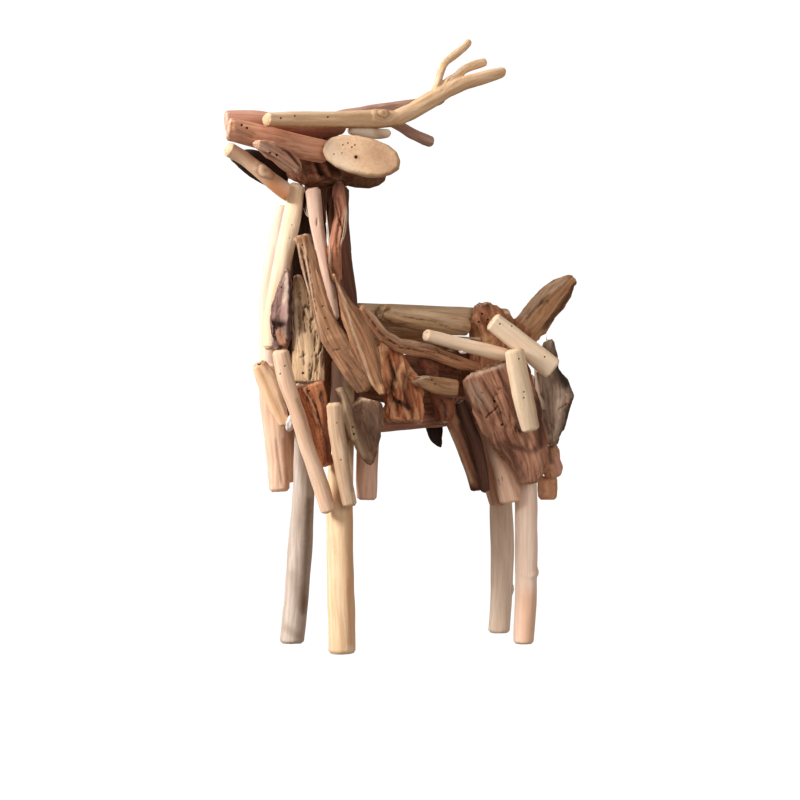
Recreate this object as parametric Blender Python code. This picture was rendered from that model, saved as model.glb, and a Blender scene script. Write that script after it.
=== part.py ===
"""A standing deer put together from driftwood sticks, planks and root chunks.

Every stick is a closed loft along its own grain. The belly bar, the legs and the neck post
come first. Each further stick is pressed on from outside until it rests on the wood that is
already there, so neighbours nearly touch and never overlap.

The deer's pose and proportions are drawn in tables, in millimetres on a deer as tall as
DRAWN_HEIGHT, and follow HEIGHT. X runs from the head at the front to the tail, the near flank
is on the -Y side, and Z is up from the floor. Everything else is in real millimetres.
"""
import math

import bmesh
import bpy
import numpy as np
from mathutils import Vector, noise
from mathutils.bvhtree import BVHTree

# Driving sizes, in millimetres except the height
HEIGHT = 0.300            # floor to the highest antler tip, metres
GAP = 0.3                 # air left between two sticks
LEG_WIDTH = 12.0          # thickness of a leg at mid height
BAR_WIDTH = 11.6          # thickness of the belly bar
POST_WIDTH = 11.0         # thickness of the neck post
ANTLER_WIDTH = 8.6        # thickness of an antler beam above the skull
EAR_THICKNESS = 5.0       # thickness of the two ear slices
EAR_DROOP = 13.0          # degrees that the tip of an ear hangs
CHAMFER = 1.1             # worn edge round the end of a stick
JAW_SLANT = 0.4           # how far the throat end of the jaw is cut slantwise
SNOUT_TURN = 0.35         # how far the front cut of a snout stick turns from the near side
BAR_TURN = 0.4            # the same for the upper cut of the square bar
DRAWN_HEIGHT = 300.4      # height of the highest antler tip in the tables
SCALE = 1000.0 * HEIGHT / DRAWN_HEIGHT      # real millimetres for one in the tables
MM = 0.001                # metres in a millimetre

# How rough the sides of a stick are
SWELL = 2.0               # strength of the swelling for a roughness of one
SIDE_PITCH = 1.7          # bumps round a stick
RING_PITCH = 1.05         # bumps along a stick, from one ring to the next
SEED_STEP = 3.7           # makes each stick's bumps its own
END_LEAST = 0.35          # a thin end keeps this share of its width inside the worn edge
SHARP_ANGLE = 40.0        # edges sharper than this stay crisp, degrees

# How a stick is pressed on
PRESS_START = 160.0       # how far outside it starts, millimetres
SLOPES = 61               # number of tilts that are tried
BACK_OFF = 0.1            # step by which a stick that still touches is drawn back
BACK_OFF_STEPS = 240      # most steps that it is drawn back

# Directions in which sticks are pressed on
NEAR = Vector((0.5, 0.866, 0.0)).normalized()
DOWN = Vector((0.0, 0.0, -1.0))
UP = Vector((0.0, 0.0, 1.0))
BACKWARD = Vector((1.0, 0.0, 0.0))
FORWARD = Vector((-0.866, 0.5, 0.0)).normalized()
INWARD = Vector((0.0, 1.0, 0.0))

placed = []               # one record per finished stick: name, points, faces
colours = {}              # each stick's colour, as sRGB red, green and blue


def clear_scene():
    """Remove what a new file starts with."""
    for item in list(bpy.data.objects):
        bpy.data.objects.remove(item, do_unlink=True)


def linear(channel):
    """Turn one sRGB channel, 0 to 255, into a linear value."""
    value = channel / 255.0
    if value <= 0.04045:
        return value / 12.92
    return ((value + 0.055) / 1.055) ** 2.4


def wood(name, colour, roughness=0.78):
    """Dry wood in one colour, given as sRGB red, green and blue."""
    material = bpy.data.materials.new(name + "_wood")
    material.use_nodes = True
    shader = material.node_tree.nodes["Principled BSDF"]
    shader.inputs["Base Color"].default_value = [linear(c) for c in colour] + [1.0]
    shader.inputs["Roughness"].default_value = roughness
    shader.inputs["Metallic"].default_value = 0.0
    return material


def outward(facing):
    """The level direction that a stick's broad side looks in; 0 is the near flank, 90 the front."""
    angle = math.radians(facing)
    return Vector((-math.sin(angle), -math.cos(angle), 0.0))


def catmull(points, count):
    """Read `count` points from a smooth curve through `points`, evenly by share of length."""
    rows = np.array(points, dtype=float)
    steps = np.linalg.norm(np.diff(rows[:, :3], axis=0), axis=1)
    along = np.concatenate([[0.0], np.cumsum(steps)])
    padded = np.vstack([2 * rows[0] - rows[1], rows, 2 * rows[-1] - rows[-2]])
    result = []
    for distance in np.linspace(0.0, along[-1], count):
        i = min(int(np.searchsorted(along, distance, side="right")) - 1, len(rows) - 2)
        t = (distance - along[i]) / (along[i + 1] - along[i])
        a, b, c, d = padded[i:i + 4]
        smooth = 0.5 * (2 * b + (c - a) * t + (2 * a - 5 * b + 4 * c - d) * t ** 2
                        + (3 * b - 3 * c + d - a) * t ** 3)
        straight = b + (c - b) * t
        result.append(np.concatenate([smooth[:3], straight[3:]]))
    return np.array(result)


def section(sides, boxy):
    """Unit outline of a stick's cross section: round at boxy 2, squarer above."""
    angles = [2 * math.pi * (k + 0.5) / sides for k in range(sides)]
    power = 2.0 / boxy
    return [(math.copysign(abs(math.cos(a)) ** power, math.cos(a)),
             math.copysign(abs(math.sin(a)) ** power, math.sin(a))) for a in angles]


def loft(path, out, depth, sides=8, boxy=2.2, sections=5, rough=0.05, slant=(0.0, 0.0),
         turn=0.0, level=False, seed=0.0):
    """Rings of points along a stick, as points and faces.

    path: rows of x, y, z and width across, and depth: thickness along `out`, both as drawn;
    rough: how far the sides swell and dip; slant: how far each end cut leans; turn: how far
    the first cut turns from `out`; level: the first end is cut level.
    """
    line = catmull(path, sections) * SCALE
    centres = [Vector(row[:3]) for row in line]
    tangents = []
    for i in range(len(centres)):
        ahead = centres[min(i + 1, len(centres) - 1)]
        behind = centres[max(i - 1, 0)]
        tangents.append((ahead - behind).normalized())
    if level:
        tangents[0] = Vector((0.0, 0.0, 1.0))

    rings = []
    last = len(centres) - 1
    stations = [0] + list(range(len(centres))) + [last]
    outline = section(sides, boxy)
    for place, i in enumerate(stations):
        tangent = tangents[i]
        forward = out - tangent * out.dot(tangent)
        forward.normalize()
        across = tangent.cross(forward).normalized()
        half_width = line[i][3] / 2
        half_depth = depth * SCALE / 2
        centre = centres[i].copy()
        if place in (0, len(stations) - 1):
            half_width = max(half_width - CHAMFER, END_LEAST * half_width)
            half_depth = max(half_depth - CHAMFER, END_LEAST * half_depth)
        elif i == 0:
            centre += tangent * CHAMFER
        elif i == last:
            centre -= tangent * CHAMFER
        ring = []
        for u, v in outline:
            spot = Vector((SIDE_PITCH * u + seed, SIDE_PITCH * v - seed, RING_PITCH * i + seed))
            swell = 1.0 + rough * SWELL * noise.noise(spot)
            point = centre + across * (u * half_width * swell) + forward * (v * half_depth * swell)
            if i == 0:
                point += tangent * (slant[0] * u * half_width - turn * v * half_depth)
            if i == last:
                point += tangent * (slant[1] * u * half_width)
            ring.append(point)
        rings.append(ring)

    points = [point for ring in rings for point in ring]
    faces = []
    for r in range(len(rings) - 1):
        for k in range(sides):
            a = r * sides + k
            b = r * sides + (k + 1) % sides
            faces.append((a, b, b + sides, a + sides))
    faces.append(tuple(reversed(range(sides))))
    faces.append(tuple(range((len(rings) - 1) * sides, len(rings) * sides)))
    return points, faces


def faces_out(points, faces):
    """Turn every face over if the body they close is inside out."""
    volume = 0.0
    for face in faces:
        for k in range(1, len(face) - 1):
            a, b, c = points[face[0]], points[face[k]], points[face[k + 1]]
            volume += a.dot(b.cross(c))
    if volume < 0:
        return [tuple(reversed(face)) for face in faces]
    return faces


def swollen(points, faces, margin):
    """The same body with every point moved out by `margin` along its normal."""
    normals = [Vector() for _ in points]
    for face in faces:
        a, b, c = points[face[0]], points[face[1]], points[face[2]]
        normal = (b - a).cross(c - b).normalized()
        for k in face:
            normals[k] += normal
    return [p + n.normalized() * margin for p, n in zip(points, normals)]


def samples(points, faces):
    """Corner, edge and face points, dense enough to feel for contact."""
    found = list(points)
    for face in faces:
        corners = [points[k] for k in face]
        found.append(sum(corners, Vector()) / len(corners))
        for k, corner in enumerate(corners):
            found.append((corner + corners[(k + 1) % len(corners)]) / 2)
    return found


def press(points, faces, direction, lean):
    """Move a stick along `direction` until it rests on two places of the wood beneath."""
    if not placed:
        return points
    skin = swollen(points, faces, GAP)
    start = -direction * PRESS_START
    outer = [p + start for p in skin]
    all_points = []
    all_faces = []
    for _, other_points, other_faces in placed:
        base = len(all_points)
        all_points += other_points
        all_faces += [tuple(base + k for k in face) for face in other_faces]
    wood_tree = BVHTree.FromPolygons(all_points, all_faces)
    skin_tree = BVHTree.FromPolygons(outer, faces)

    spread = np.array([list(p) for p in points])
    middle = spread.mean(axis=0)
    axis = np.linalg.svd(spread - middle)[2][0]
    axis = axis - np.dot(axis, np.array(direction)) * np.array(direction)
    axis = axis / np.linalg.norm(axis)

    rests = []
    for p in samples(outer, faces):
        hit = wood_tree.ray_cast(p, direction)
        if hit[0] is not None:
            rests.append((np.dot(np.array(p) - middle, axis), hit[3]))
    for q in samples(all_points, all_faces):
        hit = skin_tree.ray_cast(q, -direction)
        if hit[0] is not None:
            rests.append((np.dot(np.array(q) - middle, axis), hit[3]))
    if rests:
        rows = np.array(rests)
        best = None
        for slope in np.linspace(-lean, lean, SLOPES):
            reach = (rows[:, 1] - slope * rows[:, 0]).min()
            if best is None or reach > best[0]:
                best = (reach, slope)
        travel, slope = best
    else:
        travel, slope = PRESS_START, 0.0

    def moved(body, distance):
        shifted = []
        for p in body:
            station = float(np.dot(np.array(p) - middle, axis))
            shifted.append(p + start + direction * (distance + slope * station))
        return shifted

    for _ in range(BACK_OFF_STEPS):
        if not BVHTree.FromPolygons(moved(skin, travel), faces).overlap(wood_tree):
            break
        travel -= BACK_OFF
    return moved(points, travel)


def keep(name, points, faces, colour):
    """Put a finished stick with the ones that later sticks rest on."""
    placed.append((name, points, faces))
    colours[name] = colour


def add_body(name, points, faces, centre):
    """Make the object of one stick, with its origin at the stick's middle."""
    middle = sum(points, Vector()) / len(points)
    mesh = bpy.data.meshes.new(name)
    shape = bmesh.new()
    corners = [shape.verts.new((p - middle) * MM) for p in points]
    for face in faces:
        shape.faces.new([corners[k] for k in face])
    shape.to_mesh(mesh)
    shape.free()
    mesh.shade_smooth()
    mesh.set_sharp_from_angle(angle=math.radians(SHARP_ANGLE))
    mesh.materials.append(wood(name, colours[name]))
    body = bpy.data.objects.new(name, mesh)
    body.location = (middle - centre) * MM
    bpy.data.collections["driftwood_deer"].objects.link(body)


def union(bodies):
    """Join lofts that grow out of one another into one closed body."""
    objects = []
    for points, faces in bodies:
        mesh = bpy.data.meshes.new("branch")
        mesh.from_pydata(points, [], faces)
        branch = bpy.data.objects.new("branch", mesh)
        bpy.context.scene.collection.objects.link(branch)
        objects.append(branch)
    trunk = objects[0]
    for branch in objects[1:]:
        join = trunk.modifiers.new("join", "BOOLEAN")
        join.operation = "UNION"
        join.solver = "EXACT"
        join.object = branch
    view = bpy.context.evaluated_depsgraph_get()
    whole = bpy.data.meshes.new_from_object(trunk.evaluated_get(view))
    points = [vertex.co.copy() for vertex in whole.vertices]
    faces = [tuple(face.vertices) for face in whole.polygons]
    for branch in objects:
        bpy.data.objects.remove(branch, do_unlink=True)
    return points, faces


def stick(name, path, depth, colour, facing=30, towards=NEAR, lean=0.3, **shape):
    """One stick or plank, drawn where it belongs and then pressed on."""
    seed = SEED_STEP * (len(placed) + 1)
    out = facing if isinstance(facing, Vector) else outward(facing)
    points, faces = loft(path, out, depth, seed=seed, **shape)
    faces = faces_out(points, faces)
    if towards is not None:
        points = press(points, faces, towards, lean)
    keep(name, points, faces, colour)


def branched(name, limbs, colour, facing=30, towards=NEAR, lean=0.3, **shape):
    """A forked branch: the first limb is its beam, and the others grow out of it."""
    seed = SEED_STEP * (len(placed) + 1)
    bodies = []
    for path, depth in limbs:
        points, faces = loft(path, outward(facing), depth, seed=seed, **shape)
        bodies.append((points, faces_out(points, faces)))
    points, faces = union(bodies)
    if towards is not None:
        points = press(points, faces, towards, lean)
    keep(name, points, faces, colour)


def build_frame():
    """The belly bar, the four legs that grip it and the neck post that stands on it."""
    bar = BAR_WIDTH / SCALE
    leg = LEG_WIDTH / SCALE
    stick("belly_bar", [(-53, 0, 104.8, bar), (-16, 0, 108.2, bar), (38, 0, 113, bar),
                        (66, 0, 115.6, bar)],
          bar, (122, 79, 66), facing=0, towards=None, sections=7, rough=0.04)
    stick("leg_near_front", [(-50.4, -22.5, 0, leg + 1), (-50.4, -21, 30, leg + 1.2),
                             (-49.5, -18, 70, leg + 0.7), (-46, -13.5, 108, leg),
                             (-45.6, -13, 136, leg - 1.2)],
          leg, (214, 184, 143), towards=INWARD, lean=0, level=True, sections=7)
    stick("leg_far_front", [(-52, 31, 0, leg), (-50.3, 29, 28, leg + 0.4),
                            (-50.2, 25.5, 50, leg), (-51.1, 20.5, 72, leg - 0.8),
                            (-53.8, 14, 99, leg - 1), (-54, 13, 134, leg - 1.4)],
          leg, (186, 176, 160), towards=-INWARD, lean=0, level=True, sections=8)
    stick("leg_near_hind", [(43.8, -31.6, 0, leg - 1.8), (49.3, -26, 29, leg - 0.6),
                            (54.2, -19, 65, leg - 0.2), (57.3, -13.5, 94, leg),
                            (58, -12.3, 132, leg - 1)],
          leg - 0.5, (208, 176, 150), towards=INWARD, lean=0, level=True, sections=7)
    stick("leg_far_hind", [(61.6, 18.4, 0, leg - 0.8), (63.2, 17.6, 34, leg + 0.7),
                           (61.1, 15.6, 63, leg + 0.3), (57.8, 13, 94, leg - 0.3),
                           (57, 12.3, 132, leg - 1)],
          leg - 0.5, (196, 180, 156), towards=-INWARD, lean=0, level=True, sections=7)
    post = POST_WIDTH / SCALE
    stick("neck_post", [(-36.5, 0, 112, post), (-36, 0, 150, post), (-38.5, 0, 172, post + 0.5),
                        (-42, 0, 196, post), (-42, 0, 219.3, post)],
          post, (74, 50, 43), towards=DOWN, lean=0, sections=7)


def build_hidden_side():
    """Plainer wood on the far flank and inside the neck and the breast."""
    stick("neck_back_plank", [(-63, 6, 138, 18), (-59.5, 7, 168, 22), (-55.8, 7, 195, 21),
                              (-53.4, 7, 216.7, 14)],
          11, (52, 34, 30), facing=60, towards=BACKWARD, lean=0.1, boxy=3.0, rough=0.08)
    stick("chest_cross_stick", [(-61, -19, 108, 10), (-63, 4, 109, 10.5), (-62, 21, 106, 9.5)],
          10, (88, 58, 44), facing=90, towards=BACKWARD, lean=0.25)
    branched("rump_chunk", [
        ([(42.5, -7, 118, 16), (40.5, -7, 136, 24), (40.5, -8, 151, 23), (37, -8, 159.5, 15.5),
          (34.6, -8, 166, 8)], 12),
        ([(38, -8, 157, 11), (50, -8, 154.5, 12), (61, -8, 148.5, 9)], 10)],
        (150, 96, 66), facing=15, towards=DOWN, lean=0, sides=10, sections=7,
        boxy=2.8, rough=0.14)
    stick("tail", [(59, 6, 142, 12), (70.4, 6.6, 163.8, 17), (76.6, 6.2, 169.6, 19.4),
                   (82.9, 6, 176.9, 19.4), (89.7, 5.7, 184.1, 18), (96.1, 5.3, 189.7, 14.4),
                   (99.9, 5.1, 192.7, 9)],
          11, (176, 134, 92), towards=DOWN, lean=0, sections=9, boxy=2.8, rough=0.08)
    stick("back_stick", [(-29, 6, 159.5, 11), (14, 5, 160, 12), (58, 4, 161, 12)],
          11.5, (206, 178, 140), towards=-NEAR, lean=0.3, sections=6)
    stick("far_shoulder_plank", [(-31, 32, 157, 15), (-36, 32, 134, 23), (-42, 32, 108, 19),
                                 (-46, 32, 82, 10)],
          9, (170, 124, 88), facing=180, towards=-INWARD, lean=0.15, boxy=3.2, rough=0.1)
    stick("far_shoulder_stick", [(-58, 32, 152, 9.5), (-60, 32, 136, 10), (-59, 32, 118, 10),
                                 (-56, 32, 98, 9.5), (-54, 32, 78, 9)],
          9.5, (200, 168, 136), facing=180, towards=-INWARD, lean=0.3)
    stick("far_neck_plank", [(-46.2, 22, 226, 13.4), (-46.6, 22, 208, 12.6),
                             (-47.6, 22, 190, 13), (-49, 22, 165, 14), (-47, 22, 143, 11)],
          7, (160, 116, 84), facing=180, towards=-INWARD, lean=0.25, boxy=3.2, rough=0.1)
    stick("far_thigh_stick", [(35, 30, 121, 8.5), (41, 30, 100, 9.5), (45, 30, 80, 9),
                              (47, 30, 66, 8.5)],
          8.5, (188, 146, 118), facing=180, towards=-INWARD, lean=0.3)
    stick("far_hip_chunk", [(38, 32, 148, 18), (47, 32, 130, 24), (54, 32, 112, 22),
                            (58, 32, 90, 10)],
          14, (152, 104, 76), facing=180, towards=-INWARD, lean=0.2, sides=10, sections=7,
          boxy=2.8, rough=0.14)
    stick("far_flank_log", [(-27, 28, 150.8, 13.6), (0, 28, 150.7, 15.8), (39, 28, 150, 14)],
          10, (178, 140, 100), facing=180, towards=-INWARD, lean=0.3)
    stick("far_flank_plank", [(-38, 32, 121, 17), (-20, 32, 130, 24.2), (-4, 32, 129.8, 26),
                              (14, 32, 128.9, 27.4), (30, 32, 126, 20)],
          7, (138, 92, 66), facing=180, towards=-INWARD, lean=0.3, boxy=3.2, rough=0.1)


def build_neck():
    """The sticks and planks bundled round the neck post, from the inside out."""
    stick("neck_pink_stick", [(-62.1, -12, 216.6, 7.4), (-61.2, -12, 207.8, 7.3),
                              (-59.5, -12, 197.4, 6.7), (-56.8, -12, 184.4, 6.2),
                              (-54.1, -12, 174, 5.8), (-51.5, -12, 162.5, 5.6),
                              (-49.8, -12, 155, 4.4)],
          6.5, (204, 160, 134), lean=0.2)
    stick("throat_far_stick", [(-69.5, 6, 212, 7.5), (-73.6, 6, 193, 9.5), (-76.8, 6, 171, 10),
                               (-77, 6, 154, 10), (-77, 6, 133, 9.2)],
          8.5, (222, 190, 158), lean=0.06, sections=6)
    stick("throat_cream_stick", [(-72.1, -14, 219.6, 7.2), (-73.1, -14, 211.5, 8.8),
                                 (-76, -14, 199, 9), (-79.9, -14, 183.3, 9),
                                 (-83.6, -14, 165, 8.8), (-86, -14, 152, 8.4),
                                 (-86.4, -14, 141, 7.6)],
          8.2, (226, 198, 150), lean=0.1, sections=6)
    stick("nape_strip", [(-47.2, -10, 220.6, 5.4), (-46.6, -10, 210, 7.4), (-45.6, -10, 201, 7),
                         (-48.8, -10, 190, 7), (-48.8, -10, 182, 7), (-47.2, -10, 172, 4.6)],
          4.5, (186, 118, 84), lean=0.15, sections=7)


def build_breast():
    """The planks of the lower neck, and the breast pieces in front of the front legs."""
    stick("breast_cracked_plank", [(-77.4, -24, 176, 4), (-76, -24, 168, 6.6),
                                   (-74.2, -24, 163.4, 10.4), (-72.5, -24, 154.8, 13.6),
                                   (-71.5, -24, 144.4, 15.4), (-71.2, -24, 133.9, 15.6),
                                   (-71.3, -24, 124.4, 15.4)],
          7.5, (204, 166, 112), lean=0.1, sides=10, sections=8, rough=0.05, boxy=3.4)
    stick("neck_long_plank", [(-73, -22, 192.7, 8.2), (-70.8, -22, 186.3, 9.6),
                              (-68, -22, 175.9, 10), (-64, -22, 163.3, 9.6),
                              (-60.9, -22, 154.9, 9.8), (-55.4, -22, 144.7, 12),
                              (-49.3, -22, 136.6, 12.6), (-42.3, -22, 126.5, 12),
                              (-38.8, -22, 121, 8.6)],
          6.5, (190, 146, 104), lean=0.12, sides=10, sections=9, boxy=3.2)
    stick("withers_ridged_plank", [(-55.7, -22, 174, 2.4), (-52.8, -22, 166.5, 4.6),
                                   (-50.8, -22, 161.5, 8), (-46.8, -22, 154.5, 13.4),
                                   (-42.2, -22, 146.6, 15.4), (-38.4, -22, 138.9, 14.4),
                                   (-35, -22, 130.4, 10.6), (-31.6, -22, 122.7, 6),
                                   (-29.4, -22, 118.4, 3.2)],
          6.5, (186, 138, 94), lean=0.12, sections=10, boxy=2.6)
    stick("breast_grey_piece", [(-82.2, -24, 178.4, 2.8), (-82.9, -24, 173, 7.4),
                                (-84.6, -24, 164.5, 10.6), (-86.3, -24, 153.5, 12.4),
                                (-86.2, -24, 146.5, 11.4), (-85.2, -24, 140, 6.4)],
          6.5, (156, 124, 116), lean=0.12, sections=7, rough=0.1, boxy=2.8)
    stick("breast_far_stick", [(-76.5, 4, 134, 8.5), (-75.7, 4, 121.8, 11.2),
                               (-73.3, 4, 109.3, 12.4), (-71.7, 4, 96.7, 12.2),
                               (-71, 4, 84.8, 11.2), (-70.5, 4, 74, 9.6)],
          8.8, (206, 160, 132), lean=0)
    stick("breast_slant_piece", [(-93.9, -18, 133.7, 7.2), (-90.9, -18, 129, 10),
                                 (-86.9, -18, 121, 9.8), (-83.3, -18, 113.2, 8.8),
                                 (-79.6, -18, 104.6, 5.4)],
          6.5, (212, 168, 122), lean=0.12, boxy=2.8)
    stick("shoulder_red_piece", [(-75.4, -34, 123.5, 12.4), (-72.4, -34, 114.7, 12),
                                 (-69.9, -34, 105, 8.8), (-68.2, -34, 96.4, 8),
                                 (-66.6, -34, 85.8, 7.6)],
          8, (186, 108, 66), lean=0.12, rough=0.1, boxy=2.8, sections=6)
    stick("breast_long_stick", [(-86.1, -28, 138.2, 8), (-85, -28, 130.6, 8.2),
                                (-82.9, -28, 122.7, 7.7), (-77.6, -28, 110.5, 7.6),
                                (-73.2, -28, 96.3, 7.3), (-67.4, -28, 81.9, 7.8),
                                (-63.5, -28, 72, 7.8), (-61.2, -28, 64.8, 7.6)],
          7.6, (212, 170, 138), lean=0.2, sections=8)


def build_shoulder():
    """The blade and the short sticks that hang over the near shoulder."""
    stick("elbow_stick", [(-41.4, -30, 113, 9), (-42.6, -30, 96.8, 10.6),
                          (-43.2, -30, 85.5, 11), (-43.2, -30, 75.8, 10.4),
                          (-43.1, -30, 69.8, 9.6)],
          8, (202, 158, 132), lean=0)
    branched("shoulder_dark_blade", [
        ([(-45.2, -38, 117, 14), (-47.6, -38, 109.6, 19), (-48.6, -38, 101.6, 18),
          (-47.8, -38, 95, 13.6), (-44.8, -38, 86.6, 4.4)], 8.5),
        ([(-55, -38, 97, 7), (-57.8, -38, 110, 8.8), (-60, -38, 117, 7),
          (-62, -38, 121.8, 5.8)], 6)],
        (112, 82, 58), lean=0.15, sides=10, boxy=2.8, sections=6, rough=0.1)
    stick("shoulder_pale_stick", [(-65.4, -40, 114.6, 7.4), (-64.5, -40, 103.4, 7.8),
                                  (-62.5, -40, 93, 7.9), (-60.7, -40, 81.9, 7.7),
                                  (-58.4, -40, 72.9, 7.6), (-57.4, -40, 67.4, 7)],
          6.6, (220, 188, 148), lean=0.2)


def build_belly():
    """The short pieces that hang from the belly bar."""
    stick("belly_black_splinter", [(17, 10, 114, 9), (18, 10, 105, 9.6), (19.5, 10, 99, 6.6),
                                   (21.5, 10, 95.5, 3)],
          6, (40, 30, 26), towards=-NEAR, lean=0.1, rough=0.14)
    stick("groin_stick_front", [(8, -14, 118, 8.6), (14.3, -14, 110, 9.4),
                                (18.9, -14, 101, 9.8), (23.6, -14, 91, 9.8),
                                (27.3, -14, 82, 9.2), (29.2, -14, 74, 8.4)],
          6, (134, 84, 58), lean=0)
    stick("groin_stick_rear", [(21, -8, 118, 6), (26, -8, 107, 6), (32.5, -8, 92, 6.2),
                               (36, -8, 73, 4.8)],
          6, (120, 74, 52), lean=0)
    stick("thigh_pink_stick", [(21, -30, 119, 9.5), (25, -30, 107, 10), (30, -30, 95, 11),
                               (35.4, -30, 81.3, 12.6), (38, -30, 68, 11.4)],
          8, (206, 156, 132), lean=0.2, sections=7)


def build_flank():
    """The log, roots and planks of the near flank."""
    stick("back_log", [(-31, -20, 159.9, 8.6), (-10.6, -20, 157, 10.8), (8.4, -20, 155.6, 10.2),
                       (19.4, -20, 154.8, 8.8)],
          9.5, (170, 136, 92), lean=0.25, sections=6)
    stick("flank_gnarled_root", [(-29.6, -26, 147.4, 6), (-28.3, -26, 138.5, 12.4),
                                 (-25.8, -26, 130.5, 14.2), (-21.9, -26, 124, 17.4),
                                 (-20.4, -26, 116, 19.2), (-20.8, -26, 107.4, 17.4)],
          13, (178, 104, 66), lean=0.05, sides=10, sections=8, rough=0.16, boxy=2.6)
    branched("flank_dark_root", [
        ([(-6, -26, 138, 7), (-5, -26, 128, 8), (0, -26, 120, 11), (2, -26, 113, 11),
          (2, -26, 107, 7.6)], 9),
        ([(-12, -26, 138, 8), (-4, -26, 137, 11), (9, -26, 135.5, 9)], 7)],
        (120, 76, 50), lean=0, sections=7, rough=0.14)
    stick("flank_bent_strand", [(-39.6, -18, 160.4, 3.6), (-33.3, -18, 153.7, 5.8),
                                (-28.4, -18, 147.8, 6.4), (-21.2, -18, 143.8, 6.8),
                                (-10.8, -18, 141.7, 7.4), (0, -18, 140.2, 6.8),
                                (13.1, -18, 136.1, 6.4), (25.5, -18, 133.5, 5)],
          5.5, (158, 108, 84), lean=0.2, sections=9)
    stick("flank_small_plank", [(-20.4, -34, 125.2, 2.4), (-14.6, -34, 126, 6.8),
                                (-4.7, -34, 123.8, 9.4), (4.6, -34, 122.8, 8.8)],
          5, (176, 124, 82), lean=0.3, boxy=3.4, sections=5)


def build_hip():
    """The chunks, bar and sticks of the near hip and the rump."""
    stick("hip_chunk", [(22, -36, 134.2, 32), (25.3, -36, 127.5, 33), (28.7, -36, 120, 33),
                        (32.3, -36, 112.5, 32), (35.9, -36, 105, 30), (42.6, -36, 93, 23.6),
                        (44.6, -36, 84, 15.8), (45.5, -36, 77.3, 9)],
          9.4, (164, 112, 82), lean=0.15, sides=12, sections=8, rough=0.12, boxy=2.8)
    stick("rump_rear_chunk", [(66.6, -19.5, 149.3, 5.4), (67.1, -19.5, 142, 8.8),
                              (67.3, -20, 131.9, 13.4), (72.7, -20.5, 121.8, 19.8),
                              (73, -20.5, 113.3, 17.4), (73.6, -20.5, 104, 11.4),
                              (73.3, -20.5, 96.4, 6)],
          9, (140, 110, 84), towards=FORWARD, lean=0.1, sides=10, sections=8, rough=0.14)
    stick("rump_knob", [(74.8, -4, 95.4, 12), (77.6, -4, 87.8, 12), (80.4, -4, 80.8, 8.2)],
          9, (176, 132, 92), towards=-NEAR, lean=0, rough=0.12)
    stick("rump_stub", [(78.1, -2, 80.6, 9.8), (77.9, -2, 75.4, 10.2), (78, -2, 69.2, 9.4)],
          8, (196, 122, 84), towards=-NEAR, lean=0, sections=3)
    stick("hip_square_bar", [(27.3, -26, 155, 8.9), (43.9, -26, 144.2, 9.8),
                             (61, -26, 132.6, 11)],
          9.4, (224, 186, 140), lean=0.25, boxy=5.0, rough=0.03, turn=BAR_TURN)
    stick("flank_pale_stick", [(-13, -32, 148, 6), (6, -32, 144, 6.8), (33, -32, 139, 6.6)],
          6, (212, 172, 128), lean=0.25)
    stick("hip_short_stick", [(30.1, -42, 141, 9.6), (32, -42, 131.9, 10.2),
                              (35.1, -42, 120.2, 10.4), (38.2, -42, 109.9, 10),
                              (40.6, -42, 102.8, 9.2)],
          8.2, (222, 184, 142), lean=0.25, rough=0.03)


def ear_slice(name, middle, length, breadth, colour, towards):
    """A slice cut slantwise from a branch, standing on edge as an ear."""
    half = NEAR * EAR_THICKNESS / SCALE / 2
    ends = [middle - half, middle + half]
    droop = math.radians(EAR_DROOP)
    level = NEAR.cross(UP)
    narrow = UP * math.cos(droop) + level * math.sin(droop)
    stick(name, [(p.x, p.y, p.z, length) for p in ends], breadth, colour, facing=narrow,
          towards=towards, lean=0, sides=16, sections=2, rough=0.02)


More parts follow.
